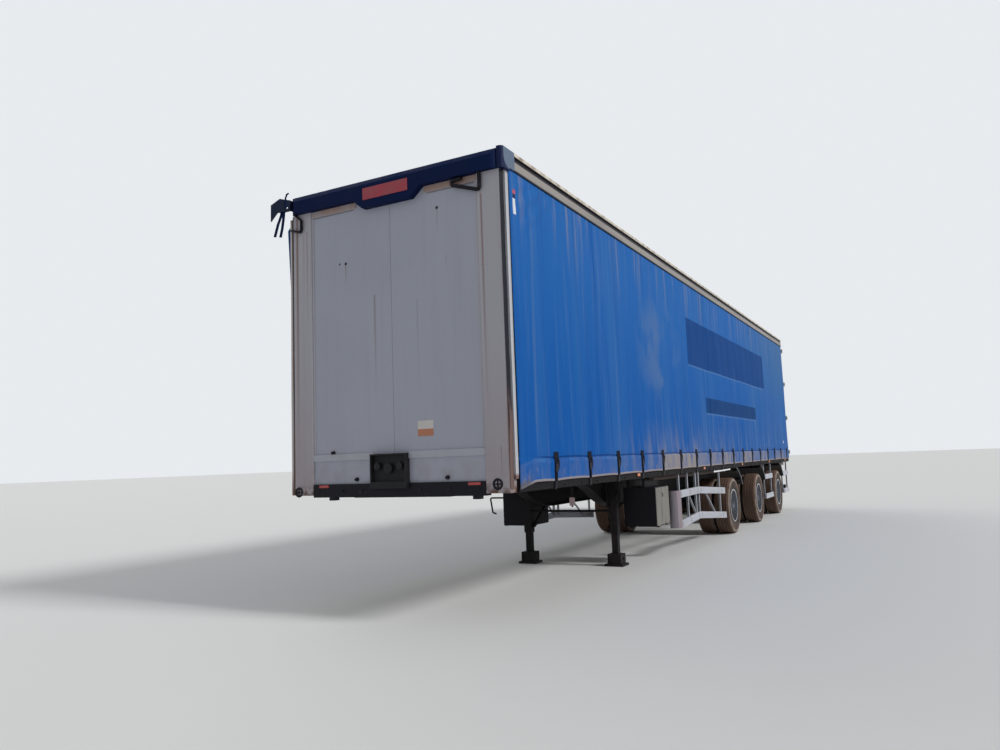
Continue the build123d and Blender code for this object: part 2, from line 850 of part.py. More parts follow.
crank_z = 920
crank_inset = 25
crank_reach_x = half_width - crank_inset
crank_arm_lean = 35
crank_arm_drop = 215
crank_grip_length = 55
crank_grip_drop = 15
crank_bends = 24
crank_radius = 12
crank_points = (
    (-leg_face_x - leg_size, leg_y, crank_z),
    (-crank_reach_x, leg_y, crank_z),
    (-crank_reach_x + crank_arm_lean, leg_y, crank_z - crank_arm_drop),
    (
        -crank_reach_x + crank_arm_lean + crank_grip_length,
        leg_y,
        crank_z - crank_arm_drop - crank_grip_drop,
    ),
)
with BuildPart() as landing_shaft:
    with BuildSketch(Plane.YZ.offset(-leg_face_x)):
        with Locations((leg_y, shaft_z)):
            Circle(shaft_radius)
    extrude(amount=2 * leg_face_x)
    with BuildLine() as crank_path:
        FilletPolyline(*crank_points, radius=crank_bends)
    with BuildSketch(Plane.YZ.offset(-leg_face_x - leg_size)):
        with Locations((leg_y, crank_z)):
            Circle(crank_radius)
    sweep(path=crank_path.wires()[0])
save(landing_shaft, "landing_shaft")

# Tool boxes behind the legs, hung from the crossmembers, with lids on the outer side
hanger_width = 30
hanger_insets = (50, 280)  # from the box's inner side
hanger_xs = [box_inner_x + inset for inset in hanger_insets]
lid_hinge_ys = (box_front_y + lid_hinge_inset, box_back_y - lid_hinge_inset)
lid_lug_offset = (lid_barrel_length + lid_lug_length) / 2 + lid_end_gap
with BuildPart() as tool_boxes:
    for side in (1, -1):
        block(
            (side * box_inner_x, side * box_outer_x),
            (box_front_y, box_back_y),
            (box_foot, box_top),
        )
        block(
            (side * (box_inner_x + box_wall), side * box_outer_x),
            (box_front_y + box_wall, box_back_y - box_wall),
            (box_foot + box_wall, box_top - box_wall),
            Mode.SUBTRACT,
        )
        for x in hanger_xs:
            block(
                (side * x, side * (x + hanger_width)),
                (box_front_y, box_back_y),
                (box_top, rail_foot),
            )
        for y in lid_hinge_ys:
            for lug_y in (y - lid_lug_offset, y + lid_lug_offset):
                block(
                    (side * (box_outer_x - lid_lug_length), side * lid_axis_x),
                    (lug_y - lid_lug_length / 2, lug_y + lid_lug_length / 2),
                    (lid_axis_z - lid_barrel_radius, box_foot),
                )
                with BuildSketch(Plane.XZ.offset(lid_lug_length / 2 - lug_y)):
                    with Locations((side * lid_axis_x, lid_axis_z)):
                        Circle(lid_barrel_radius)
                extrude(amount=-lid_lug_length)
            with BuildSketch(Plane.XZ.offset(-(y - lid_lug_offset))):
                with Locations((side * lid_axis_x, lid_axis_z)):
                    Circle(lid_pin_radius)
            extrude(amount=-2 * lid_lug_offset)
save(tool_boxes, "tool_boxes")

lid_inner_x = box_outer_x + lid_gap
for name, side in (("left", 1), ("right", -1)):
    with BuildPart() as tool_box_lid:
        block(
            (side * lid_inner_x, side * (lid_inner_x + lid_thickness)),
            (box_front_y + lid_margin, box_back_y - lid_margin),
            (lid_foot, box_top - lid_margin),
        )
        for y in lid_hinge_ys:
            block(
                (side * lid_inner_x, side * (lid_inner_x + lid_thickness)),
                (y - lid_barrel_length / 2, y + lid_barrel_length / 2),
                (lid_axis_z, lid_foot),
            )
            with BuildSketch(Plane.XZ.offset(-(y - lid_barrel_length / 2))):
                with Locations((side * lid_axis_x, lid_axis_z)):
                    Circle(lid_barrel_radius)
            extrude(amount=-lid_barrel_length)
            with BuildSketch(Plane.XZ.offset(-(y - lid_barrel_length / 2))):
                with Locations((side * lid_axis_x, lid_axis_z)):
                    Circle(lid_pin_radius + hinge_clearance)
            extrude(amount=-lid_barrel_length, mode=Mode.SUBTRACT)
    save(tool_box_lid, f"tool_box_lid_{name}")

# Fenders: quarter rings behind each pair of wheels, on stays from the beams
fender_radius = 760
fender_thickness = 4
fender_inset = 30
fender_margin = 15  # past the inner tyre
fender_inner_x = inner_tyre_x - tyre_half_width - fender_margin
fender_outer_x = half_width - fender_inset
fender_shift = 180  # centre of its arc behind the axle
fender_drop = 60  # and below it
fender_low_angle = 32
stay_radius = 19
stay_angles = (42, 66)
stay_end_inset = 20
fender_outer_radius = fender_radius + fender_thickness
fender_centre_z = wheel_radius - fender_drop
fender_high_angle = degrees(asin((rail_foot - fender_centre_z) / fender_outer_radius))


def around(axle_y, radius, angle):
    """A point on a fender, by the angle above the horizontal towards the rear."""
    turn = radians(angle)
    return (axle_y + fender_shift + radius * cos(turn), fender_centre_z + radius * sin(turn))


with BuildPart() as fenders:
    for side in (1, -1):
        for axle_y in axle_ys:
            middle_angle = (fender_low_angle + fender_high_angle) / 2
            low_x = min(side * fender_inner_x, side * fender_outer_x)
            with BuildSketch(Plane.YZ.offset(low_x)):
                with BuildLine():
                    outer_low = around(axle_y, fender_outer_radius, fender_low_angle)
                    outer_middle = around(axle_y, fender_outer_radius, middle_angle)
                    outer_high = around(axle_y, fender_outer_radius, fender_high_angle)
                    inner_high = around(axle_y, fender_radius, fender_high_angle)
                    inner_middle = around(axle_y, fender_radius, middle_angle)
                    inner_low = around(axle_y, fender_radius, fender_low_angle)
                    ThreePointArc(outer_low, outer_middle, outer_high)
                    Line(outer_high, inner_high)
                    ThreePointArc(inner_high, inner_middle, inner_low)
                    Line(inner_low, outer_low)
                make_face()
            extrude(amount=fender_outer_x - fender_inner_x)
            for angle in stay_angles:
                stay = around(axle_y, fender_radius - stay_radius, angle)
                stay_start_x = side * (beam_x + web_thickness / 2)
                stay_end_x = side * (fender_outer_x - stay_end_inset)
                with BuildSketch(Plane.YZ.offset(min(stay_start_x, stay_end_x))):
                    with Locations(stay):
                        Circle(stay_radius)
                extrude(amount=abs(stay_end_x - stay_start_x))
save(fenders, "fenders")

# Side guards: kinked pairs of rails, a curved end plate, posts and thin diagonals
guard_inset = 35
guard_outer_x = half_width - guard_inset
guard_depth = 30
guard_height = 105
guard_post_size = 30
guard_post_outer_x = guard_outer_x - guard_depth
box_to_guard = 315
guard_start_y = box_back_y + box_to_guard
guard_wheel_gap = 140
guard_end_y = first_axle_y - wheel_radius - guard_wheel_gap
guard_kink_share = 0.37  # of the guard's length, from its front
guard_kink_y = guard_start_y + guard_kink_share * (guard_end_y - guard_start_y)
# Levels of a rail's middle at the start, the kink and the end
upper_rail = (888, 897, 800)
lower_rail = (460, 512, 380)
fender_reach = around(0, fender_outer_radius, fender_low_angle)[0]
rear_guard_gap = 30  # from a fender's lower edge
rear_guard_length = 760
middle_guard_y = axle_ys[1] + fender_reach + rear_guard_gap
tail_guard_y = last_axle_y + fender_reach + rear_guard_gap
rear_guards = (
    (middle_guard_y, last_axle_y - wheel_radius - guard_wheel_gap),
    (tail_guard_y, tail_guard_y + rear_guard_length),
)
rear_guard_levels = (905, 480)
# Posts, placed from the guard's start, its kink and its end
guard_post_ys = (
    guard_start_y + 45,
    guard_start_y + 500,
    guard_kink_y - 70,
    guard_kink_y + 110,
    guard_end_y - 250,
)
diagonal_width = 16
second_diagonal = (480, 1180)  # its two ends, from the kink
diagonal_ends = (
    (guard_post_ys[1], guard_post_ys[2]),
    [guard_kink_y + reach for reach in second_diagonal],
)
end_plate_length = 130
end_plate_front_y = guard_start_y - end_plate_length
end_plate_turn = 145
end_plate_inner_x = guard_outer_x - end_plate_turn
end_plate_thickness = 20


def rail_level(levels, y):
    """The level of a guard rail's middle at y, before its kink or behind it."""
    start, kink, end = levels
    if y < guard_kink_y:
        return kink + (start - kink) * (guard_kink_y - y) / (guard_kink_y - guard_start_y)
    return kink + (end - kink) * (y - guard_kink_y) / (guard_end_y - guard_kink_y)


with BuildPart() as side_guards:
    for side in (1, -1):
        outer = side * guard_outer_x
        inner = side * guard_post_outer_x
        with BuildSketch(Plane.YZ.offset(min(inner, outer))):
            for levels in (upper_rail, lower_rail):
                ys = (guard_start_y, guard_kink_y, guard_end_y)
                low = [(y, z - guard_height / 2) for y, z in zip(ys, levels)]
                high = [(y, z + guard_height / 2) for y, z in zip(ys, levels)]
                Polygon(*low, *reversed(high), align=None)
            for low_y, high_y in rear_guards:
                for z in rear_guard_levels:
                    with Locations(((low_y + high_y) / 2, z)):
                        Rectangle(high_y - low_y, guard_height)
        extrude(amount=guard_depth)
        post_x = (side * (guard_post_outer_x - guard_post_size), inner)
        for y in guard_post_ys:
            block(
                post_x,
                (y - guard_post_size / 2, y + guard_post_size / 2),
                (rail_level(lower_rail, y), rail_foot),
            )
        with BuildSketch(Plane.YZ.offset(min(post_x))):
            for start_y, end_y in diagonal_ends:
                start_z = rail_level(upper_rail, start_y)
                end_z = rail_level(lower_rail, end_y)
                Polygon(
                    (start_y, start_z + diagonal_width / 2),
                    (start_y, start_z - diagonal_width / 2),
                    (end_y, end_z - diagonal_width / 2),
                    (end_y, end_z + diagonal_width / 2),
                    align=None,
                )
        extrude(amount=guard_post_size)
        for low_y, high_y in rear_guards:
            for y in (low_y + guard_post_size, high_y - guard_post_size):
                block(
                    post_x,
                    (y - guard_post_size / 2, y + guard_post_size / 2),
                    (rear_guard_levels[1] - guard_height / 2, rail_foot),
                )
        with BuildSketch(Plane.XY.offset(lower_rail[0] - guard_height / 2)):
            with BuildLine():
                outer_start = (outer, guard_start_y)
                outer_end = (side * end_plate_inner_x, end_plate_front_y)
                inner_start = (outer - side * end_plate_thickness, guard_start_y)
                inner_end = (side * end_plate_inner_x, end_plate_front_y + end_plate_thickness)
                TangentArc(outer_start, outer_end, tangent=(0, -1))
                Line(outer_end, inner_end)
                TangentArc(inner_start, inner_end, tangent=(0, -1))
                Line(inner_start, outer_start)
            make_face()
        extrude(amount=upper_rail[0] - lower_rail[0] + guard_height)
save(side_guards, "side_guards")

# Tube stowed lengthwise under the left outriggers
tube_radius = 35
tube_inset = 200
tube_x = half_width - tube_inset
tube_z = rail_foot - tube_radius
tube_lap = 100  # how far it starts behind the tool box's front
tube_front_y = box_front_y + tube_lap
tube_length = 4290
tube_back_y = tube_front_y + tube_length
with BuildPart() as stowed_tube:
    with BuildSketch(Plane.XZ.offset(-tube_front_y)):
        with Locations((tube_x, tube_z)):
            Circle(tube_radius)
    extrude(amount=-(tube_back_y - tube_front_y))
save(stowed_tube, "stowed_tube")

# Axle tubes with a spindle at each end and seats for the springs
spring_width = 90
spring_thickness = 40
spring_half_length = 520
spring_end_z = 690
seat_height = 30  # of the axle's seat, and of the pad between it and the spring
seat_half_length = 70
seat_top = wheel_radius + axle_tube_radius + seat_height
spring_middle_z = seat_top + seat_height / 2
hanger_half_length = 55
hanger_foot = 660
with BuildPart() as axles:
    for axle_y in axle_ys:
        with BuildSketch(Plane.YZ.offset(-axle_tube_half_length)):
            with Locations((axle_y, wheel_radius)):
                Circle(axle_tube_radius)
        extrude(amount=2 * axle_tube_half_length)
        with BuildSketch(Plane.YZ.offset(-spindle_end_x)):
            with Locations((axle_y, wheel_radius)):
                Circle(spindle_radius)
        extrude(amount=2 * spindle_end_x)
        for x in (beam_x, -beam_x):
            block(
                (x - spring_width / 2, x + spring_width / 2),
                (axle_y - seat_half_length, axle_y + seat_half_length),
                (wheel_radius, seat_top),
            )
save(axles, "axles")

# Leaf springs on the axles' seats, and the hangers that hold them under the beams
with BuildPart() as springs:
    for axle_y in axle_ys:
        low_end = (axle_y - spring_half_length, spring_end_z)
        high_end = (axle_y + spring_half_length, spring_end_z)
        upper_low_end = (low_end[0], spring_end_z + spring_thickness)
        upper_high_end = (high_end[0], spring_end_z + spring_thickness)
        for x in (beam_x, -beam_x):
            with BuildSketch(Plane.YZ.offset(x - spring_width / 2)):
                with BuildLine():
                    ThreePointArc(low_end, (axle_y, spring_middle_z), high_end)
                    Line(high_end, upper_high_end)
                    ThreePointArc(
                        upper_high_end,
                        (axle_y, spring_middle_z + spring_thickness),
                        upper_low_end,
                    )
                    Line(upper_low_end, low_end)
                make_face()
            extrude(amount=spring_width)
            block(
                (x - spring_width / 2, x + spring_width / 2),
                (axle_y - seat_half_length, axle_y + seat_half_length),
                (seat_top, spring_middle_z + spring_thickness / 2),
            )
            for middle_y in (low_end[0], high_end[0]):
                block(
                    (x - spring_width / 2, x + spring_width / 2),
                    (middle_y - hanger_half_length, middle_y + hanger_half_length),
                    (hanger_foot, deep_foot),
                )
save(springs, "springs")

# Rear bumper bar on plates at the beams' tails
bumper_foot = 480
bumper_height = 110
bumper_depth = 80
bumper_inset = 150
bumper_half_width = half_width - bumper_inset
bumper_plate_thickness = 16
bumper_plate_length = 160
with BuildPart() as rear_bumper:
    block(
        (-bumper_half_width, bumper_half_width),
        (frame_front_y, frame_front_y + bumper_depth),
        (bumper_foot, bumper_foot + bumper_height),
    )
    for x_range in both_sides((flange_outer_x, flange_outer_x + bumper_plate_thickness)):
        block(x_range, (frame_front_y - bumper_plate_length, frame_front_y), (bumper_foot, rail_foot))
save(rear_bumper, "rear_bumper")

lamp_beam_gap = 65
lamp_buffer_gap = 15
lamp_low_x = flange_outer_x + lamp_beam_gap
lamp_high_x = buffer_x - buffer_width / 2 - lamp_buffer_gap
lamp_height = 105
lamp_depth = 50
with BuildPart() as rear_lamps:
    for x_range in both_sides((lamp_low_x, lamp_high_x)):
        block(
            x_range,
            (frame_back_y - lamp_depth, frame_back_y),
            (rail_foot - lamp_height, rail_foot),
        )
save(rear_lamps, "rear_lamps")

# Side lamps on the side rails, each placed by the strap before it and the share of a pitch
side_lamp_places = (2.81, 6.52, 9.84, 13.16, 15.65)
side_lamp_ys = [strap_first_y + place * strap_pitch for place in side_lamp_places]
side_lamp_length = 90
side_lamp_height = 34
side_lamp_depth = 14
side_lamp_drop = 5
side_lamp_top = curtain_foot - side_lamp_drop
side_lamp_foot = side_lamp_top - side_lamp_height
with BuildPart() as side_lamps:
    for x_range in both_sides((rail_outer_x, rail_outer_x + side_lamp_depth)):
        row(x_range, side_lamp_ys, side_lamp_length, (side_lamp_foot, side_lamp_top))
save(side_lamps, "side_lamps")

# Air tanks across the frame between the beams
tank_radius = 120
tank_half_length = 380
tank_pitch = 300
tank_setback = 5600
tank_first_y = front_y + tank_setback
tank_ys = (tank_first_y, tank_first_y + tank_pitch)
tank_z = 1000
saddle_width = 40
saddle_half_length = 270
saddle_rise = 100
saddle_foot = tank_z + saddle_rise
saddle_x = 280
with BuildPart() as air_tanks:
    for y in tank_ys:
        with BuildSketch(Plane.YZ.offset(-tank_half_length)):
            with Locations((y, tank_z)):
                Circle(tank_radius)
        extrude(amount=2 * tank_half_length)
        for x in (-saddle_x, saddle_x):
            block(
                (x - saddle_width / 2, x + saddle_width / 2),
                (y - saddle_half_length, y + saddle_half_length),
                (saddle_foot, rail_foot),
            )
save(air_tanks, "air_tanks")

# Wheels: twin tyres on one rim, with the hub and the brake drum
rim_barrel = 16
rim_lip_rise = 10
rim_lip_radius = bead_radius + rim_lip_rise
rim_lip_width = 9
rim_lip_gap = 3  # clears the side wall where it leaves the bead
disc_dish = 157.5  # from the outer tyre's middle in to the wheel disc
disc_x = outer_tyre_x - disc_dish
disc_thickness = 18
drum_radius = 205
drum_gap = 35
drum_end_x = disc_x - drum_gap
hub_radius = 105
hub_reach = 105
hub_end_x = disc_x + hub_reach
hub_cap_radius = 78
hub_cap_reach = 150
hub_cap_end_x = disc_x + hub_cap_reach
hand_hole_radius = 24
hand_hole_ring = 222
hand_hole_count = 10
hand_hole_depth = disc_thickness + 1
barrel_radius = bead_radius - rim_barrel
bore_end_gap = 5
bore_end_x = spindle_end_x + bore_end_gap


def tyre_section(centre_x):
    """Half outline of a tyre standing on its bead, for turning about the axle."""
    return [
        (centre_x - bead_half_width, bead_radius),
        (centre_x - tyre_half_width, shoulder_radius),
        (centre_x - tread_half_width, wheel_radius),
        (centre_x + tread_half_width, wheel_radius),
        (centre_x + tyre_half_width, shoulder_radius),
        (centre_x + bead_half_width, bead_radius),
    ]


outer_lip_x = outer_tyre_x + bead_half_width + rim_lip_gap
inner_lip_x = inner_tyre_x - bead_half_width - rim_lip_gap
rim_section = [
    (inner_lip_x - rim_lip_width, barrel_radius),
    (inner_lip_x - rim_lip_width, rim_lip_radius),
    (inner_lip_x, rim_lip_radius),
    (inner_lip_x, bead_radius),
    (outer_lip_x, bead_radius),
    (outer_lip_x, rim_lip_radius),
    (outer_lip_x + rim_lip_width, rim_lip_radius),
    (outer_lip_x + rim_lip_width, barrel_radius),
    (disc_x + disc_thickness, barrel_radius),
    (disc_x + disc_thickness, hub_radius),
    (hub_end_x, hub_radius),
    (hub_end_x, hub_cap_radius),
    (hub_cap_end_x, hub_cap_radius),
    (hub_cap_end_x, 0),
    (bore_end_x, 0),
    (bore_end_x, spindle_radius + spindle_clearance),
    (hub_inner_x, spindle_radius + spindle_clearance),
    (hub_inner_x, drum_radius),
    (drum_end_x, drum_radius),
    (disc_x, drum_radius),
    (disc_x, barrel_radius),
]

for name, side in (("left", 1), ("right", -1)):
    for number, axle_y in enumerate(axle_ys, 1):
        axle_line = Axis((0, axle_y, wheel_radius), (1, 0, 0))
        axle_plane = Plane(origin=(0, axle_y, wheel_radius), x_dir=(1, 0, 0), z_dir=(0, -1, 0))
        with BuildPart() as tyres:
            for centre_x in (outer_tyre_x, inner_tyre_x):
                with BuildSketch(axle_plane):
                    Polygon(*[(side * x, r) for x, r in tyre_section(centre_x)], align=None)
                revolve(axis=axle_line)
        save(tyres, f"tyres_{name}_{number}")

        with BuildPart() as rim:
            with BuildSketch(axle_plane):
                Polygon(*[(side * x, r) for x, r in rim_section], align=None)
            revolve(axis=axle_line)
            disc_face = Plane(
                origin=(side * (disc_x + disc_thickness), axle_y, wheel_radius),
                x_dir=(0, 1, 0),
                z_dir=(side, 0, 0),
            )
            with BuildSketch(disc_face):
                with PolarLocations(hand_hole_ring, hand_hole_count):
                    Circle(hand_hole_radius)
            extrude(amount=-hand_hole_depth, mode=Mode.SUBTRACT)
        save(rim, f"rim_{name}_{number}")
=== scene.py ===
# %% [markdown]
# This lesson dresses a curtain-sided semi trailer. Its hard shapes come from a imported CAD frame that
# stands in metres, with +Z up, the front wall facing -Y and +X on the trailer's own left. Here every
# surface gets a finish, and the parts that CAD left plain, such as cloth, straps, tyres and bolts,
# are made again in detail. The frame is loaded first, because each later piece is placed by it.

# %% Load the frame
from math import cos, pi, radians, sin

import bmesh
import bpy
import numpy as np
from mathutils import Matrix, Vector


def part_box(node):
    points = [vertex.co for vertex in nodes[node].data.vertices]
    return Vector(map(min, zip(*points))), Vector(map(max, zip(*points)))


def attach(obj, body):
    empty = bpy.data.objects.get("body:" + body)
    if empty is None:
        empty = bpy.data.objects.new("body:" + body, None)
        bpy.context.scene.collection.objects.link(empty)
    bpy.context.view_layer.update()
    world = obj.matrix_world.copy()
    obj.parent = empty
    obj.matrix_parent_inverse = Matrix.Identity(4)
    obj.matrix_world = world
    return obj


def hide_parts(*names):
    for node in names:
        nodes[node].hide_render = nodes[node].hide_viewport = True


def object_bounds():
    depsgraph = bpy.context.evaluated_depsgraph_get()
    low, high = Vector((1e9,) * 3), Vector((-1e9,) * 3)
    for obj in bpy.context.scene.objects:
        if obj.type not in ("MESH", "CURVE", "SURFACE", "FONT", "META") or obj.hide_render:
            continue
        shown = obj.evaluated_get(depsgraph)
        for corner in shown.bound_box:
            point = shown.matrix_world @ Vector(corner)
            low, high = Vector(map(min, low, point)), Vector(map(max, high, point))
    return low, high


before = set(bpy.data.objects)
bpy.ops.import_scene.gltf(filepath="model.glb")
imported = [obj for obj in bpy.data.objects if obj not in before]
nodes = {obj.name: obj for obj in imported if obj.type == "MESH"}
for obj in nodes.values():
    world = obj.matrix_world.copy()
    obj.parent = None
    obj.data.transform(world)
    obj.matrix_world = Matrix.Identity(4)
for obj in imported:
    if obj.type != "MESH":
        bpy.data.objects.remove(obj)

cad_box = [list(corner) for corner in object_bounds()]
link = bpy.context.scene.collection.objects.link
sides = (("left", 1), ("right", -1))
wheel_numbers = (1, 2, 3)
print("CAD nodes:", len(nodes), "box:", np.round(cad_box, 3).tolist())

# %% [markdown]
# The photograph was taken by a person who stood off the front left corner, with the lens slightly
# tipped up and rolled. A camera could be set by eye, but straight edges of the trailer fix it far
# better: the numbers below put the roof line, the hem and the wheels on their places in the picture.

# %% Camera
camera_place = np.array([4.4899, -13.8061, 1.4671])
camera_yaw = 0.4961
camera_pitch = 0.1084
camera_roll = -0.0361
sensor_width = 36.0
focal_pixels = 784.23
picture_width = 1000

ahead = np.array([-sin(camera_yaw), cos(camera_yaw), 0.0]) * cos(camera_pitch)
ahead[2] = sin(camera_pitch)
level_right = np.array([cos(camera_yaw), sin(camera_yaw), 0.0])
level_up = np.cross(level_right, ahead)
right = cos(camera_roll) * level_right + sin(camera_roll) * level_up
up = -sin(camera_roll) * level_right + cos(camera_roll) * level_up

camera_data = bpy.data.cameras.new("camera")
camera_data.sensor_width = sensor_width
camera_data.lens = focal_pixels * sensor_width / picture_width
camera_data.clip_end = 500
camera = bpy.data.objects.new("camera", camera_data)
link(camera)
turn = np.eye(4)
turn[:3] = np.stack([right, up, -ahead, camera_place], axis=1)
camera.matrix_world = Matrix(turn.tolist())
bpy.context.scene.camera = camera
bpy.context.scene.view_settings.view_transform = "Standard"
print("lens", round(camera_data.lens, 2), "mm")

# %% [markdown]
# The stage is a wide pale floor under an even pale sky. A soft sun from the trailer's left lights
# the blue side fully and leaves the front wall in gentle shade, as in the photograph, and a weak
# one from behind keeps the far sides readable. The sky that the camera, mirrors and clear parts
# show is set apart from the light it gives, so it can be pale while the object keeps its colours.

# %% Floor, sky and sun
floor_reach = 220.0
floor_mesh = bpy.data.meshes.new("stage_floor")
corners = [(floor_reach * x, floor_reach * y, 0) for x, y in ((-1, -1), (1, -1), (1, 1), (-1, 1))]
floor_mesh.from_pydata(corners, [], [(0, 1, 2, 3)])
stage_floor = bpy.data.objects.new("stage_floor", floor_mesh)
link(stage_floor)
stage_finish = bpy.data.materials.new("stage_pale")
stage_finish.use_nodes = True
stage_shader = stage_finish.node_tree.nodes["Principled BSDF"]
stage_shader.inputs["Base Color"].default_value = (0.62, 0.62, 0.61, 1)
stage_shader.inputs["Roughness"].default_value = 0.9
floor_mesh.materials.append(stage_finish)

sky = bpy.data.worlds.new("pale_sky")
bpy.context.scene.world = sky
sky.use_nodes = True
sky_tree = sky.node_tree
link_sky = sky_tree.links.new
sky_light = sky_tree.nodes["Background"]
sky_seen = sky_tree.nodes.new("ShaderNodeBackground")
for background, colour, strength in (
    (sky_light, (0.94, 0.97, 1.0, 1), 0.42),
    (sky_seen, (0.80, 0.83, 0.86, 1), 1.0),
):
    background.inputs["Color"].default_value = colour
    background.inputs["Strength"].default_value = strength
rays = sky_tree.nodes.new("ShaderNodeLightPath").outputs
seen = rays["Is Camera Ray"]
for kind in ("Is Glossy Ray", "Is Transmission Ray"):
    either = sky_tree.nodes.new("ShaderNodeMath")
    either.operation = "MAXIMUM"
    link_sky(seen, either.inputs[0])
    link_sky(rays[kind], either.inputs[1])
    seen = either.outputs[0]
sky_choice = sky_tree.nodes.new("ShaderNodeMixShader")
link_sky(seen, sky_choice.inputs["Fac"])
link_sky(sky_light.outputs[0], sky_choice.inputs[1])
link_sky(sky_seen.outputs[0], sky_choice.inputs[2])
link_sky(sky_choice.outputs[0], sky_tree.nodes["World Output"].inputs["Surface"])

for name, direction, energy, softness in (
    ("soft_sun", (0.82, 0.03, 0.57), 2.3, 12),
    ("back_fill", (-0.75, 0.45, 0.50), 0.8, 50),
):
    lamp_data = bpy.data.lights.new(name, "SUN")
    lamp_data.energy = energy
    lamp_data.angle = radians(softness)
    lamp = bpy.data.objects.new(name, lamp_data)
    link(lamp)
    lamp.rotation_euler = Vector(direction).to_track_quat("Z", "Y").to_euler()
print("floor", 2 * floor_reach, "m wide")

# %% [markdown]
# Each piece below is a surface worked out with numpy: an array of points in rows and columns, whose
# neighbours are joined by four-sided faces. A shape is kept as a pair of arrays, points and faces,
# until it is whole, so rows of bolts or straps are made by shifting one small shape. Points that
# fall on each other, at a pole or a seam, are merged at the end and the faces turned outwards.

# %% Shapes as arrays
weld = 1e-6


def grid(points, wrap_rows=False, wrap_columns=False):
    """Points in rows and columns, each joined to its neighbours; wrapping joins last to first."""
    rows, columns = points.shape[:2]
    index = np.arange(rows * columns).reshape(rows, columns)
    if wrap_rows:
        index = np.vstack([index, index[:1]])
    if wrap_columns:
        index = np.hstack([index, index[:, :1]])
    faces = [index[:-1, :-1], index[:-1, 1:], index[1:, 1:], index[1:, :-1]]
    return points.reshape(-1, 3), np.stack(faces, axis=-1).reshape(-1, 4)


def joined(shapes):
    """Several shapes as one: points end to end, each shape's faces shifted past those before."""
    starts = np.cumsum([0] + [len(points) for points, _ in shapes[:-1]])
    faces = [faces + start for start, (_, faces) in zip(starts, shapes)]
    return np.vstack([points for points, _ in shapes]), np.vstack(faces)


def repeated(shape, places):
    """A copy of the shape at each place: every point plus every place."""
    points, faces = shape
    places = np.asarray(places, float)
    moved = (points[None] + places[:, None]).reshape(-1, 3)
    shifts = len(points) * np.arange(len(places))
    return moved, (faces[None] + shifts[:, None, None]).reshape(-1, 4)


def mirrored(shape):
    """The shape on the other side: x changes sign."""
    points, faces = shape
    return points * np.array([-1.0, 1.0, 1.0]), faces[:, ::-1]


def brick(low, high):
    """The eight corners between two opposite ones, and the six faces of a box."""
    low, high = np.minimum(low, high), np.maximum(low, high)
    pick = np.array([(x, y, z) for x in (0, 1) for y in (0, 1) for z in (0, 1)])
    faces = [(0, 1, 3, 2), (4, 6, 7, 5), (0, 4, 5, 1), (2, 3, 7, 6), (0, 2, 6, 4), (1, 5, 7, 3)]
    return low + pick * (high - low), np.array(faces)


def block(centre, size):
    """A box by its middle and its whole sizes."""
    centre = np.asarray(centre, float)
    return brick(centre - 0.5 * np.array(size), centre + 0.5 * np.array(size))


def facing(axis):
    """Two directions at right angles to the axis and to each other."""
    axis = np.asarray(axis, float) / np.linalg.norm(axis)
    helper = np.array([0.0, 0.0, 1.0]) if abs(axis[2]) < 0.9 else np.array([1.0, 0.0, 0.0])
    across = np.cross(helper, axis)
    across /= np.linalg.norm(across)
    return axis, across, np.cross(axis, across)


def turned(profile, centre, axis, count, closed=False):
    """A profile of (along, radius) pairs turned about the axis: centre + along * axis + radius *
    (cos t * across + sin t * over), with t going once round in count steps. A closed profile joins
    its last pair to its first."""
    axis, across, over = facing(axis)
    profile = np.asarray(profile, float)
    angle = np.linspace(0, 2 * pi, count, endpoint=False)
    ring = np.cos(angle)[:, None] * across + np.sin(angle)[:, None] * over
    points = np.asarray(centre, float) + profile[:, None, :1] * axis
    points = points + profile[:, None, 1:] * ring[None]
    return grid(points, wrap_rows=closed, wrap_columns=True)


def tube(low, high, outer, inner=0.0):
    """The profile of a round bar from low to high along its axis, or of a ring with a bore."""
    return [(low, inner), (low, outer), (high, outer), (high, inner)]


def swept(path, section, over=(0.0, 0.0, 1.0)):
    """A closed section of (side, over) pairs carried along a path. At each point the side lies at
    right angles to the path's direction and to over. Both ends are closed in the middle. A path
    that runs straight along over has no side, so it must lean a little from it, if only by a hair."""
    path = np.asarray(path, float)
    section = np.asarray(section, float)[None]
    along = np.gradient(path, axis=0)
    along /= np.linalg.norm(along, axis=1)[:, None]
    side = np.cross(along, np.asarray(over, float))
    side /= np.linalg.norm(side, axis=1)[:, None]
    upper = np.cross(side, along)
    rings = path[:, None] + section[..., :1] * side[:, None] + section[..., 1:] * upper[:, None]
    first, last = np.broadcast_to(rings[[0, -1]].mean(axis=1, keepdims=True), rings[[0, -1]].shape)
    return grid(np.concatenate([first[None], rings, last[None]]), wrap_columns=True)


def circle(radius, count=12):
    """Points of a circle, for a section: radius times the cosine and the sine."""
    angle = np.linspace(0, 2 * pi, count, endpoint=False)
    return radius * np.stack([np.cos(angle), np.sin(angle)], axis=1)


def flat_bar(half_width, half_height):
    """The corners of a flat section."""
    return [(x * half_width, z * half_height) for x, z in ((-1, -1), (1, -1), (1, 1), (-1, 1))]


def heads(places, axis, radius, height, count=8):
    """A rounded head at each place: its radius shrinks by the cosine of an angle while its height
    grows by the sine."""
    angle = np.linspace(0, pi / 2, 4)
    outline = np.stack([height * np.sin(angle), radius * np.cos(angle)], axis=1)
    root = -0.3 * height
    profile = np.vstack([[(root, 0.0), (root, radius)], outline])
    return repeated(turned(profile, (0, 0, 0), axis, count), places)


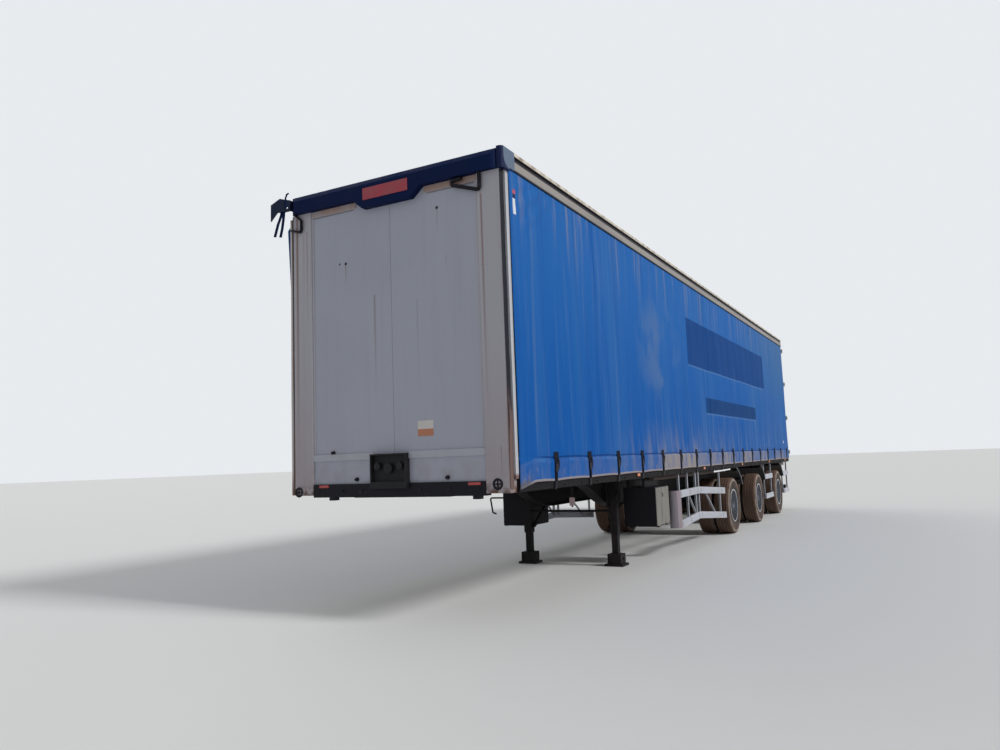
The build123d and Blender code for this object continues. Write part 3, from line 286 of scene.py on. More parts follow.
def hex_bolts(places, axis, radius, height):
    """A six-sided head on a round washer at each place."""
    washer = turned(tube(0, 0.3 * height, 1.5 * radius), (0, 0, 0), axis, 12)
    crown = (1.15 * height, 0.8 * radius)
    head = turned([(0, 0), (0, radius), (height, radius), crown, (crown[0], 0)], (0, 0, 0), axis, 6)
    return repeated(joined([washer, head]), places)


def ring_places(centre, radius, count, start=0.0):
    """Points evenly round a circle in the plane at right angles to the axle."""
    angle = start + np.linspace(0, 2 * pi, count, endpoint=False)
    return centre + radius * np.stack([0 * angle, np.cos(angle), np.sin(angle)], axis=1)


# %% [markdown]
# Next comes the helper that turns arrays into a piece. Every piece rides on one body of the frame,
# so a wheel's nuts turn with the wheel.

# %% Pieces from arrays
smooth_angle = radians(38)


def add_piece(name, shape, finish, body="trailer", closed=True, bevel=0.0, replaces=None):
    """Puts a shape into a mesh, merges its seams, gives it its finish and lets it ride."""
    points, faces = shape
    mesh = bpy.data.meshes.new(name)
    mesh.from_pydata(points.tolist(), [], faces.tolist())
    if closed:
        work = bmesh.new()
        work.from_mesh(mesh)
        bmesh.ops.remove_doubles(work, verts=work.verts, dist=weld)
        bmesh.ops.recalc_face_normals(work, faces=work.faces)
        work.to_mesh(mesh)
        work.free()
    mesh.polygons.foreach_set("use_smooth", [True] * len(mesh.polygons))
    mesh.set_sharp_from_angle(angle=smooth_angle)
    mesh.materials.append(finish)
    piece = bpy.data.objects.new(name, mesh)
    link(piece)
    if bevel:
        edge = piece.modifiers.new("soft_edges", "BEVEL")
        edge.width = bevel
        edge.segments = 2
        edge.limit_method = "ANGLE"
    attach(piece, body)
    if replaces:
        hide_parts(replaces)
    print(name, len(mesh.polygons), "faces")
    return piece


def give_thickness(piece, thickness):
    """Turns a sheet into a slab behind its face."""
    thicker = piece.modifiers.new("cloth_thickness", "SOLIDIFY")
    thicker.thickness = thickness
    thicker.offset = -1.0


def middle(node):
    """The point midway between the corners of a CAD node's box."""
    return np.mean([list(corner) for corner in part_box(node)], axis=0)


def give(finish, *names):
    """Puts one finish into every slot of the named CAD nodes."""
    for name in names:
        for place in nodes[name].material_slots:
            place.material = finish


# %% [markdown]
# A finish is a small network of nodes. The two classes below keep that readable: a value is what a
# node gives at each point, and sums with it add nodes, and a finish lays paint over paint by such
# values. Patterns read object coordinates, which here are metres on the trailer, so a streak can be
# put exactly below the hole that it runs from.

# %% A finish in the making
class Value:
    """A number at each point of a surface, given by a node. Each sum with it adds one more node."""

    def __init__(self, finish, socket):
        self.finish = finish
        self.socket = socket

    def step(self, operation, other=0.0):
        """One step of arithmetic with another value or a number."""
        return self.finish.arithmetic(operation, self, other)

    def __add__(self, other):
        return self.step("ADD", other)

    def __sub__(self, other):
        return self.step("SUBTRACT", other)

    def __rsub__(self, other):
        return self.finish.arithmetic("SUBTRACT", other, self)

    def __mul__(self, other):
        return self.step("MULTIPLY", other)

    def __truediv__(self, other):
        return self.step("DIVIDE", other)

    def __pow__(self, other):
        return self.step("POWER", other)

    def __abs__(self):
        return self.step("ABSOLUTE")

    def ease(self, low, high, start=0.0, end=1.0):
        """Goes smoothly from start to end while the value goes from low to high."""
        made = self.finish.node("ShaderNodeMapRange", Value=self)
        made.interpolation_type = "SMOOTHSTEP"
        for key, number in (("From Min", low), ("From Max", high), ("To Min", start), ("To Max", end)):
            made.inputs[key].default_value = number
        return Value(self.finish, made.outputs[0])

    def fade(self, low, high, start=1.0):
        """Goes smoothly from start to nought while the value goes from low to high."""
        return self.ease(low, high, start, 0.0)

    def between(self, low, high, edge):
        """One where the value lies between two limits, with soft edges."""
        return self.ease(low - edge, low + edge) * self.fade(high - edge, high + edge)

    def wave(self, pitch):
        """A sine that comes round once in each pitch."""
        return (self * (2 * pi / pitch)).step("SINE")


def distance(first, second):
    """The square root of the sum of two squares."""
    return (first ** 2.0 + second ** 2.0).step("SQRT")


def scaled(colour, share):
    """A colour times a share."""
    return tuple(share * part for part in colour)


class Finish:
    """A material whose colour, roughness and relief are built up step by step."""

    def __init__(self, name, colour, roughness, metallic=0.0, specular=0.5):
        self.material = bpy.data.materials.new(name)
        self.material.use_nodes = True
        self.tree = self.material.node_tree
        self.shader = self.tree.nodes["Principled BSDF"]
        self.shader.inputs["Metallic"].default_value = metallic
        self.shader.inputs["Specular IOR Level"].default_value = specular
        self.shader.inputs["Roughness"].default_value = roughness
        self.shader.inputs["Base Color"].default_value = (*colour, 1)
        self.roughness = roughness
        self.colour = (*colour, 1)
        self.place = self.node("ShaderNodeTexCoord").outputs["Object"]
        parts = self.node("ShaderNodeSeparateXYZ", Vector=self.place)
        self.x, self.y, self.z = (Value(self, part) for part in parts.outputs)

    def node(self, kind, **inputs):
        """Adds a node and fills its named inputs with numbers or with other nodes' results."""
        made = self.tree.nodes.new(kind)
        for key, value in inputs.items():
            self.feed(made.inputs[key.replace("_", " ")], value)
        return made

    def feed(self, socket, value):
        """Links a result to an input, or sets the input to a number."""
        value = value.socket if isinstance(value, Value) else value
        if isinstance(value, bpy.types.NodeSocket):
            self.tree.links.new(value, socket)
        else:
            socket.default_value = value

    def arithmetic(self, operation, first, second):
        """A node that works out one operation on two values or numbers."""
        made = self.node("ShaderNodeMath")
        made.operation = operation
        self.feed(made.inputs[0], first)
        self.feed(made.inputs[1], second)
        return Value(self, made.outputs[0])

    def carried(self, name):
        """The number that each point of the mesh carries under this name."""
        made = self.node("ShaderNodeAttribute")
        made.attribute_name = name
        return Value(self, made.outputs["Fac"])

    def noise(self, scale, detail=3.0, stretch=(1, 1, 1), shift=(0, 0, 0)):
        """Cloudy pattern, scale cells to the metre, pulled out along an axis where stretch is low."""
        moved = self.node("ShaderNodeMapping", Vector=self.place, Scale=stretch, Location=shift)
        made = self.node("ShaderNodeTexNoise", Vector=moved.outputs[0], Scale=scale, Detail=detail)
        return Value(self, made.outputs["Fac"])

    def paint(self, factor, colour):
        """Lays a colour over the finish so far, as strongly as the factor says."""
        made = self.tree.nodes.new("ShaderNodeMix")
        made.data_type = "RGBA"
        self.feed(made.inputs[0], factor)
        self.feed(made.inputs[6], self.colour)
        self.feed(made.inputs[7], (*colour, 1))
        self.colour = made.outputs[2]

    def rough(self, factor, roughness):
        """Moves the roughness towards another where the factor is high."""
        made = self.node("ShaderNodeMix", Factor=factor)
        self.feed(made.inputs[2], self.roughness)
        self.feed(made.inputs[3], roughness)
        self.roughness = made.outputs[0]

    def relief(self, height, distance):
        """Raises the surface by the height times a distance in metres."""
        made = self.node("ShaderNodeBump", Height=height, Distance=distance)
        self.tree.links.new(made.outputs[0], self.shader.inputs["Normal"])

    def done(self):
        """Feeds the last colour and roughness to the shader and gives the material."""
        self.feed(self.shader.inputs["Base Color"], self.colour)
        self.feed(self.shader.inputs["Roughness"], self.roughness)
        return self.material


red_dust = (0.185, 0.110, 0.083)
rust_brown = (0.095, 0.042, 0.027)
rust_dull = (0.215, 0.118, 0.088)

# %% [markdown]
# The chassis is black paint under years of red road dust. Plain black would look like a hole, so
# the finish has three layers: slightly blotchy black, rust where the paint has chipped, and dust
# that thickens towards the ground. The same recipe, browner or greasier, serves the whole gear.

# %% Chassis paint
def dusty_paint(name, colour, dust, rust=0.25, roughness=0.55):
    """Paint, then rust where one noise is high, then dust where height is low and noise is high."""
    coat = Finish(name, colour, roughness, specular=0.12)
    coat.paint(coat.noise(2.2, 4), tuple(1.3 * part + 0.003 for part in colour))
    chips = coat.noise(26, 5).ease(0.70 - 0.12 * rust, 0.76 - 0.10 * rust)
    coat.paint(chips * 0.8, rust_brown)
    cloud = coat.noise(5, 5, (1, 1, 0.5)).ease(0.38, 0.72)
    layer = coat.z.ease(0.1, 1.25, 1.0, 0.35) * cloud * dust
    coat.paint(layer, red_dust)
    coat.rough(layer, 0.95)
    coat.relief(coat.noise(90, 4), 0.0009)
    return coat.done()


chassis_black = dusty_paint("chassis_black", (0.008, 0.008, 0.010), 0.07)
rail_black = dusty_paint("rail_black", (0.006, 0.005, 0.006), 0.03, roughness=0.7)
gear_black = dusty_paint("gear_black", (0.009, 0.009, 0.011), 0.10, rust=0.5, roughness=0.6)
box_black = dusty_paint("box_black", (0.008, 0.008, 0.012), 0.04, roughness=0.45)
coupling_grease = dusty_paint("coupling_grease", (0.022, 0.019, 0.016), 0.15, rust=0.9, roughness=0.35)
tube_brown = dusty_paint("tube_brown", (0.075, 0.058, 0.050), 0.4, rust=0.8)

lid_green = Finish("lid_grey_green", (0.170, 0.162, 0.140), 0.55)
lid_green.paint(lid_green.noise(13, 5, (1, 1, 0.10)).ease(0.50, 0.68) * 0.65, (0.050, 0.045, 0.038))
lid_green.paint(lid_green.noise(30, 5).ease(0.66, 0.72), rust_brown)
lid_green.relief(lid_green.noise(60, 4), 0.0006)

give(chassis_black, "chassis_beams", "crossmembers", "rear_bumper", "air_tanks")
give(rail_black, "side_rails")
give(gear_black, "landing_legs", "landing_shaft", "axles", "springs")
give(box_black, "tool_boxes", "front_beam", "header_brackets")
give(coupling_grease, "coupling_plate")
give(lid_green.done(), "tool_box_lid_left", "tool_box_lid_right")
give(tube_brown, "stowed_tube")
print("chassis finishes given")

# %% [markdown]
# The front wall is greyed white paint. What tells its age is where water ran: long faint streaks
# all over, and dark or rusty ones below each hole and bracket. A streak is the product of a narrow
# bell across it and a fade down from its source, so it can be placed to the centimetre.

# %% White paint with streaks
def streak(coat, x, z, width, length, strength):
    """High on the line x, below the level z, fading out over the length."""
    across = (abs(coat.x - x) / width).fade(0.0, 1.0)
    under = z - coat.z
    return across * (under.ease(0.0, 0.02) * under.fade(0.1 * length, length)) * strength


def aged_white(name, colour, grime=0.30):
    """White paint with long faint runs of grime and a dusty foot."""
    coat = Finish(name, colour, 0.48, specular=0.35)
    coat.paint(coat.noise(7, 5, (1.6, 1.6, 0.07)).ease(0.45, 0.78) * grime, scaled(colour, 0.62))
    coat.paint(coat.noise(1.1, 3).ease(0.35, 0.75) * 0.25, scaled(colour, 0.82))
    coat.paint(coat.z.fade(1.15, 1.75, 0.3) * coat.noise(6, 5).ease(0.35, 0.7), red_dust)
    coat.paint(coat.noise(38, 4).ease(0.745, 0.77) * 0.6, rust_brown)
    return coat


rib_pitch = 0.155
wall_streaks = (  # x, upper end, width, length, strength
    (0.553, 3.885, 0.012, 0.30, 0.4),
    (-0.560, 3.506, 0.012, 0.26, 0.7),
    (-0.638, 3.513, 0.008, 0.08, 0.5),
    (-0.205, 3.15, 0.022, 1.10, 0.5),
    (0.300, 3.05, 0.016, 1.20, 0.22),
    (0.640, 3.42, 0.006, 0.16, 0.6),
)
wall_holes = ((0.553, 3.885, 0.017), (-0.560, 3.506, 0.017), (-0.638, 3.513, 0.011))
wall = aged_white("front_wall_white", (0.375, 0.390, 0.465), grime=0.16)
for numbers in wall_streaks:
    wall.paint(streak(wall, *numbers), (0.165, 0.125, 0.095))
# Each hole is a near-black disc: painted shade standing for the hole's depth.
for x, z, radius in wall_holes:
    away = distance(wall.x - x, wall.z - z)
    wall.paint(away.fade(0.7 * radius, 1.2 * radius), (0.02, 0.012, 0.01))
# A dark band just below the head strips is painted shade, cast by the strips onto the wall.
shade_under_head_strips = wall.z.between(4.040, 4.056, 0.003) * 0.6
wall.paint(shade_under_head_strips * abs(wall.x).ease(0.43, 0.46), (0.09, 0.08, 0.09))
wall.relief(wall.x.wave(rib_pitch).ease(0.9, 1.0) * 0.3 + wall.noise(1.8), 0.0012)
give(wall.done(), "front_wall")

post_streaks = (
    (1.050, 3.93, 0.018, 2.4, 0.75),
    (-1.055, 3.93, 0.016, 1.4, 0.4),
    (-1.10, 3.90, 0.009, 0.8, 0.5),
    (-1.19, 4.10, 0.026, 3.2, 0.9),
    (1.125, 1.25, 0.05, 0.07, 0.6),
    (1.17, 1.60, 0.010, 0.35, 0.5),
)
posts = aged_white("post_white", (0.395, 0.385, 0.430))
rusty_edge = abs(posts.x).ease(1.228, 1.249) * posts.noise(7, 5, (1, 1, 0.12)).ease(0.38, 0.62)
posts.paint(rusty_edge * 0.7, rust_dull)
posts.paint(posts.z.fade(1.3, 2.8, 0.45), (0.33, 0.275, 0.290))
for numbers in post_streaks:
    posts.paint(streak(posts, *numbers), (0.175, 0.092, 0.070))
posts.paint(posts.z.fade(1.19, 1.30) * posts.noise(14).ease(0.35, 0.6), rust_brown)
edge_strip = abs(posts.x).ease(1.2502, 1.2506)
posts.paint(edge_strip, (0.44, 0.45, 0.48))
posts.paint(edge_strip * posts.noise(9, 4, (1, 1, 0.1)).ease(0.4, 0.7, 0.0, 0.5), (0.28, 0.24, 0.23))
posts.paint(edge_strip * posts.z.fade(1.32, 1.36, 0.9), (0.13, 0.055, 0.042))
posts.relief(posts.noise(14, 4, (1, 1, 0.3)), 0.0012)
give(posts.done(), "front_posts")

moulding = aged_white("moulding_white", (0.41, 0.42, 0.48), grime=0.2)
moulding.relief(moulding.noise(30), 0.0006)
give(moulding.done(), "front_moulding")

rear_white = aged_white("rear_white", (0.58, 0.58, 0.59), grime=0.55)
rear_white.relief(rear_white.noise(20, 4), 0.0008)
give(rear_white.done(), "rear_frame", "rear_sill")

door_rib_pitch = 0.12
doors = aged_white("door_white", (0.60, 0.60, 0.615), grime=0.65)
doors.relief(doors.x.wave(door_rib_pitch).ease(0.55, 0.8), 0.004)
give(doors.done(), "rear_door_left", "rear_door_right")
print("white paint given")

# %% [markdown]
# Black plastic goes grey where the sun reaches it, and the torn corner shows it most. Bare metals
# differ by their shine: galvanised rods are cloudy, the guards are dulled along their length, and
# the wheels are polished under a film of dust.

# %% Plastics and metals
def weathered_plastic(name, colour, bleached, amount=0.6, specular=0.2):
    """Moulded plastic with a fine grain, bleached in clouds."""
    skin = Finish(name, colour, 0.5, specular=specular)
    clouds = skin.noise(3.5, 5, (1, 0.4, 1)).ease(0.35, 0.75)
    skin.paint(clouds * amount, bleached)
    skin.rough(clouds, 0.75)
    skin.relief(skin.noise(420, 2), 0.0003)
    return skin.done()


def bare_metal(name, colour, roughness, grain=(1, 1, 1), dust=0.3, cloud_scale=12.0, clouding=0.5):
    """Metal with a grain drawn out along one axis, clouded in colour and shine, with some dust."""
    metal = Finish(name, colour, roughness, metallic=0.9)
    clouds = metal.noise(cloud_scale, 4).ease(0.3, 0.7)
    metal.paint(clouds * clouding, scaled(colour, 0.62))
    metal.rough(clouds, min(1.0, roughness + 0.44 * clouding))
    metal.paint(metal.noise(4, 5).ease(0.42, 0.75) * dust, (0.24, 0.16, 0.12))
    metal.relief(metal.noise(160, 2, grain), 0.0001)
    return metal.done()


def clouded(name, colour, clouds, grain, specular=0.5):
    """A plain colour with clouds of another: scale, detail, limits, amount and the other colour."""
    coat = Finish(name, colour, 0.5, specular=specular)
    scale, detail, low, high, amount, second = clouds
    coat.paint(coat.noise(scale, detail).ease(low, high, 0.0, amount), second)
    coat.relief(coat.noise(grain[0]), grain[1])
    return coat.done()


cap_navy = (0.0040, 0.0110, 0.0490)
cap_black = weathered_plastic("cap_black", (0.0035, 0.0100, 0.0480), (0.006, 0.015, 0.062), specular=0.06)
socket_black = weathered_plastic("socket_black", (0.010, 0.010, 0.012), (0.05, 0.05, 0.055), 0.4)
fender_black = weathered_plastic("fender_black", (0.014, 0.014, 0.015), (0.10, 0.075, 0.06), 0.7)
give(cap_black, "header_cap")
give(socket_black, "socket_box")
give(fender_black, "fenders")

rounding_y, rounding_z, rounding = -7.590, 4.240, 0.100
corner = Finish("corner_grey", (0.115, 0.152, 0.218), 0.5, specular=0.12)
corner.paint(corner.noise(6, 5) * 0.4, (0.085, 0.105, 0.15))
below = (rounding_z - corner.z).step("MAXIMUM", 0.0)
before = (rounding_y - corner.y).step("MAXIMUM", 0.0)
corner.paint(distance(below, before).ease(rounding, rounding + 0.006), cap_navy)
corner.paint(corner.y.fade(-7.712, -7.704), cap_navy)
corner.paint(corner.x.fade(-0.2, 0.2), (0.010, 0.015, 0.034))
corner.relief(corner.noise(300, 2), 0.0003)
give(corner.done(), "corner_caps")

guard_colour = (0.50, 0.51, 0.56)
guard_metal = bare_metal("guard_metal", guard_colour, 0.5, (1, 0.03, 1), dust=0.12, clouding=0.25)
galvanised = bare_metal("galvanised", (0.34, 0.35, 0.36), 0.45, dust=0.4, cloud_scale=34)
polished = bare_metal("polished_wheel", (0.60, 0.62, 0.67), 0.12, (0.2, 1, 1), 0.40, 4, 0.3)
turned_steel = bare_metal("turned_steel", (0.32, 0.31, 0.30), 0.35, (1, 1, 8), dust=0.5)
guards = Finish("guard_rails", guard_colour, 0.5, metallic=0.6)
guards.paint(guards.noise(9, 5, (1, 0.2, 1)).ease(0.4, 0.75, 0.0, 0.5), (0.36, 0.35, 0.37))
# The guard's front end is painted dark pinkish: painted shade on the forward-facing end, with a painted
# reflection of the red ground.
guards.paint(guards.y.fade(-2.475, -2.465, 0.8), (0.235, 0.170, 0.180))
guards.paint(abs(guards.x).fade(1.232, 1.234, 0.6), (0.13, 0.13, 0.145))
guards.relief(guards.noise(60, 3, (1, 0.05, 1)), 0.0002)
poles = Finish("pole_metal", (0.36, 0.36, 0.37), 0.5, metallic=0.6)
poles.paint(poles.z.fade(1.6, 2.2) * poles.noise(8), rust_brown)
poles.relief(poles.noise(60), 0.0006)
give(guards.done(), "side_guards")
give(galvanised, "door_fittings_left", "door_fittings_right")
give(turned_steel, "kingpin")
give(poles.done(), "curtain_poles")
give(polished, *[f"rim_{name}_{number}" for name, _ in sides for number in wheel_numbers])
red_clouds = (9, 4, 0.35, 0.7, 0.5, (0.26, 0.085, 0.10))
give(clouded("blank_plate_red", (0.36, 0.050, 0.070), red_clouds, (60, 0.0004), 0.3), "header_plate")
print("plastics and metals given")

# %% [markdown]
# The roof rail reads as four lines in the photograph: a cream top edge, a dark groove, a wide
# beige-grey face and a dark lower edge. The bands are levels, so the colour is chosen by height.

# %% Roof rail, floor boards and lamps
rail = Finish("roof_rail_bands", (0.27, 0.245, 0.225), 0.5, specular=0.25)
rail.paint(rail.noise(5, 5, (1, 0.2, 2)).ease(0.35, 0.7) * 0.7, (0.175, 0.155, 0.145))
# The dark groove is painted shade in its recess.
rail.paint(rail.z.between(4.240, 4.290, 0.003), (0.014, 0.010, 0.016))
rail.paint(rail.z.between(4.140, 4.166, 0.003), (0.012, 0.012, 0.018))
# The cream top edge is a painted highlight, where light falls on the rail's top.
cream_top_highlight = rail.z.ease(4.292, 4.298)
rail.paint(cream_top_highlight, (0.60, 0.54, 0.45))
rail.paint(cream_top_highlight * rail.noise(7, 5).ease(0.4, 0.7), (0.25, 0.20, 0.15))
rail.relief(rail.noise(40, 3, (1, 0.1, 1)), 0.0006)
give(rail.done(), "roof_rails")

board_width = 1.22
boards = Finish("floor_boards", (0.24, 0.145, 0.075), 0.65)
grain = boards.noise(16, 6, (6, 0.25, 1))
boards.paint(grain.ease(0.35, 0.7), (0.13, 0.075, 0.04))
boards.paint(boards.noise(1.4, 4).ease(0.4, 0.7) * 0.5, (0.27, 0.21, 0.16))
boards.paint((boards.y / board_width).step("FRACT").fade(0.0, 0.004), (0.03, 0.02, 0.015))
boards.relief(grain, 0.0015)
give(boards.done(), "floor")

prism_pitch = 2 * pi / 900


def lens(name, colour):
    """Clear moulded plastic over fine upright prisms."""
    glass = Finish(name, colour, 0.18)
    glass.shader.inputs["Coat Weight"].default_value = 0.6
    glass.paint(glass.noise(20, 3) * 0.4, scaled(colour, 0.5))
    glass.relief(glass.y.wave(prism_pitch) + glass.x.wave(prism_pitch), 0.0006)
    return glass.done()


amber_lens = lens("amber_lens", (0.75, 0.20, 0.03))
red_lens = lens("red_lens", (0.45, 0.015, 0.015))
lamp_body = weathered_plastic("lamp_body", (0.012, 0.012, 0.014), (0.030, 0.030, 0.034))
give(amber_lens, "side_lamps")
give(lamp_body, "rear_lamps")
print("bands, boards and lenses given")

# %% [markdown]
# The curtains are the face of this trailer: fifteen metres of coated blue cloth, bleached in
# upright streaks, with darker patches where the cloth was covered for years. It hangs from the roof
# rail and is pulled down at each strap, so it is tight there and billows a little between. A cloth
# simulation of so long a sheet would only find that same shape slowly, so it is written as waves.
# The right curtain's front edge has come loose and stands off, wider towards the top.

# %% Curtain shape
strap_count = 17
curtain_low, curtain_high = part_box("curtains")
strap_low, strap_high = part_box("curtain_straps")
strap_half = 0.031
strap_ys = np.linspace(strap_low[1] + strap_half, strap_high[1] - strap_half, strap_count)
strap_pitch = strap_ys[1] - strap_ys[0]
cloth_thickness = 0.0025
cloth_face = curtain_high[0] - 0.001
hem_level, top_level = curtain_low[2], curtain_high[2]
grid_along, grid_up = 371, 84


def bell(value, centre, width):
    """The exponential of minus the square of the distance from the centre, in widths."""
    return np.exp(-((value - centre) / width) ** 2)


def ramp(value, length):
    """Rises evenly from nought to one over the length, and stays there."""
    return np.clip(value / length, 0, 1)


def curtain_points(side):
    """Rows go up and columns go back. x is the hanging face plus shallow folds; z rises from a hem
    that is drawn up between the straps. Also gives each point's height above the hem."""
    share = np.linspace(0, 1, grid_up)
    rise = (0.55 * share + 0.45 * (share ** 2 * (3 - 2 * share))) ** 1.15
    y, v = np.meshgrid(np.linspace(curtain_low[1], curtain_high[1], grid_along), rise)
    back = y - curtain_low[1]
    slack = 1 - np.abs(np.cos(pi * (y - strap_ys[0]) / strap_pitch)) ** 6
    front = ramp(back, 0.30)
    sag = 0.050 * (1 - front) if side > 0 else 0.02 * (1 - front) ** 2
    hem = hem_level - sag + 0.007 * slack * front
    z = hem + v * (top_level - hem)
    down = top_level - z

    billow = 0.010 * bell(z, hem_level, 0.42) * slack
    long_waves = 0.0045 * np.sin(2 * pi * y / 1.93 + 1.1 * np.sin(0.9 * y + side))
    short_waves = 0.0022 * np.sin(2 * pi * y / 0.61 + 2.0 * np.sin(1.7 * z + 0.6 * y))
    waves = np.sin(pi * v) * (long_waves + short_waves)
    crease = 0.003 * bell(z, 1.445, 0.018) - 0.007 * bell(z, 1.476, 0.016)
    band = 0.0022 * bell(z, 1.42, 0.05) * np.sin(2 * pi * y / 0.21)
    corner_share = bell(back, 0, 0.9) * bell(down, 0, 0.55) * (1 - bell(back, 0, 0.20))
    wrinkles = 0.011 * corner_share * np.sin(2 * pi * (back + 1.4 * down) / 0.30)
    x = cloth_face + (0.003 + billow + waves + crease + band + wrinkles) * ramp(down, 0.10)
    if side < 0:
        x += 0.150 * (1 - ramp(back, 0.75)) ** 2 * ramp(z - 1.2, 2.8) * ramp(down, 0.12)
    return np.stack([side * x, y, z], axis=-1), z - hem


# %% [markdown]
# The cloth's colour has many thin layers: strong blue at the foot and paler at the top, upright
# bleached streaks at two widths, the two darker patches that stayed covered, a pale worn cloud in
# front of them, and dirt that differs from bay to bay below the crease. The hem's colours follow
# the cloth's own edge, by the height above it that each point of the mesh carries.

# %% Curtain cloth
blue = (0.0028, 0.080, 0.315)
patches = (  # ends along y, levels, colour
    (-1.7, 4.7, 2.86, 3.60, (0.0030, 0.044, 0.185)),
    (-0.7, 3.55, 2.13, 2.385, (0.0020, 0.037, 0.140)),
)
mark_bands = (  # levels and colour of the small blank mark at the front edge
    (3.735, 3.886, (0.62, 0.63, 0.68)),
    (3.890, 3.928, (0.02, 0.03, 0.07)),
    (3.930, 3.970, (0.42, 0.09, 0.12)),
)
dirty_bays = {
    4: 0.85, 5: 0.9, 6: 0.4, 7: 0.5, 8: 0.8, 9: 0.25, 10: 0.7, 11: 0.3, 12: 0.6, 14: 0.55, 15: 0.35,
}
crease_height = 0.226
thread_pitch = 0.006
panel_width = 1.45


def curtain_finish(name, side):
    """Layers of paint from the top down; every factor is a product of soft steps and noises."""
    cloth = Finish(name, blue, 0.66, specular=0.05)
    y, z, above = cloth.y, cloth.z, cloth.carried("above_hem")

    def streaks(scale, detail, tall, low, high, shift=0, start=0.0, end=1.0):
        """A noise pulled out upwards, the more so the lower tall is, between two limits."""
        return cloth.noise(scale, detail, (1, 1, tall), (0, shift, 0)).ease(low, high, start, end)

    height = z.ease(1.5, 4.0)
    broad = streaks(2.1, 4, 0.05, 0.44, 0.72)
    cloth.paint(height * 0.60, (0.024, 0.132, 0.395))
    cloth.paint(broad * 0.30, (0.045, 0.150, 0.360))
    cloth.paint(streaks(13, 4, 0.035, 0.53, 0.75, side) * 0.30, (0.115, 0.185, 0.320))
    cloth.paint(streaks(6, 3, 0.04, 0.54, 0.74, 4) * 0.55, (0.0030, 0.064, 0.280))
    rear_fade = y.ease(1.0, 7.4, 0.0, 0.55) * height.ease(0.0, 1.0, 0.3, 1.0)
    cloth.paint(rear_fade, (0.055, 0.135, 0.255))
    cloth.paint(streaks(9, 4, 0.06, 0.5, 0.74, 9) * z.ease(3.2, 4.15, 0.0, 0.6), (0.200, 0.215, 0.270))
    away = ((y + 3.1) / 1.1) ** 2.0 + ((z - 2.9) / 0.8) ** 2.0
    cloth.paint(away.fade(0.1, 1.2) * cloth.noise(1.9, 5).ease(0.42, 0.62) * 0.45, (0.110, 0.180, 0.310))
    rising_place = above.fade(0.20, 1.40, 0.6) * y.ease(-5.0, 0.5, 0.1, 1.0)
    cloth.paint(streaks(11, 4, 0.05, 0.44, 0.70, 2) * rising_place, (0.130, 0.185, 0.275))
    for low_y, high_y, low_z, high_z, colour in patches:
        along = y.between(low_y, high_y, 0.012)
        inside = along * z.between(low_z, high_z, 0.010)
        cloth.paint(inside * streaks(9, 4, 0.08, 0.3, 0.8, start=0.97, end=0.78), colour)
        rim = along * z.between(low_z - 0.030, low_z - 0.004, 0.006)
        cloth.paint(rim * 0.4, (0.110, 0.200, 0.360))

    haze = above.fade(0.20, 0.75, 0.5) * y.between(-4.4, 0.5, 1.2)
    cloth.paint(haze * streaks(5, 5, 0.3, 0.4, 0.7), (0.220, 0.220, 0.250))
    bay = (y - float(strap_ys[0])) / float(strap_pitch)
    dirt = 0.12
    for number, strength in dirty_bays.items():
        dirt = bay.between(number + 0.06, number + 0.97, 0.05) * strength + dirt
    under_crease = above.fade(crease_height - 0.012, crease_height - 0.002)
    smears = streaks(4.5, 6, 0.5, 0.30, 0.58, side)
    cloth.paint(dirt * smears * under_crease, (0.250, 0.225, 0.220))
    cloth.paint(streaks(16, 6, 0.7, 0.50, 0.75) * above.fade(0.03, 0.22, 0.55), (0.200, 0.180, 0.185))
    # The dark line in the crease is painted shade, and the paler band just below it is a painted highlight
    # on the fold.
    crease = above.between(crease_height - 0.008, crease_height + 0.010, 0.005)
    cloth.paint(crease * y.ease(-7.35, -6.95, 0.0, 0.8), (0.0025, 0.030, 0.145))
    lit_fold = above.between(crease_height - 0.045, crease_height - 0.014, 0.012)
    cloth.paint(lit_fold * streaks(4, 3, 0.2, 0.4, 0.7, end=0.4), (0.075, 0.190, 0.420))
    flap = y.fade(-7.45, -7.28, 0.85) * above.fade(0.03, 0.08)
    cloth.paint(above.fade(0.018, 0.026, 0.85), (0.300, 0.255, 0.240))
    cloth.paint(flap, (0.105, 0.105, 0.120))
    scratches = cloth.noise(60, 2, (1, 0.12, 1.4)).ease(0.76, 0.79)
    cloth.paint(scratches * y.ease(1.0, 5.0), (0.40, 0.45, 0.52))
    seam_line = ((y + 20.0) / panel_width).step("FRACT").fade(0.0, 0.012)
    cloth.paint(seam_line * 0.35, (0.0050, 0.050, 0.200))
    if side > 0:
        mark = y.between(-7.515, -7.462, 0.002)
        for low_z, high_z, colour in mark_bands:
            cloth.paint(mark * z.between(low_z, high_z, 0.002), colour)
        white_spot = y.between(6.84, 6.92, 0.02) * z.between(1.64, 1.70, 0.01)
        cloth.paint(white_spot, (0.6, 0.62, 0.66))
    cloth.rough(broad, 0.72)
    weave = (y.wave(thread_pitch) + z.wave(thread_pitch)) * 0.08
    folds = cloth.noise(3.0, 4, (1, 1, 0.16)) * 3.2
    cloth.relief(weave + folds + seam_line, 0.0022)
    return cloth.done()


for name, side in sides:
    points, above_hem = curtain_points(side)
    points, faces = grid(points)
    shape = (points, faces if side > 0 else faces[:, ::-1])
    finish = curtain_finish(f"curtain_blue_{name}", side)
    curtain = add_piece(f"curtain_{name}", shape, finish, closed=False, replaces="curtains")
    heights = curtain.data.attributes.new("above_hem", "FLOAT", "POINT")
    heights.data.foreach_set("value", np.asarray(above_hem, np.float32).ravel())
    give_thickness(curtain, cloth_thickness)

# %% [markdown]
# A strap is dark webbing sewn to the curtain, an over-centre buckle and a steel hook that bites
# under the side rail. One strap is modelled once from ribbons, small boxes and a bent hook, and then
# copied down both sides with a little difference in tilt, because no two are pulled quite alike.

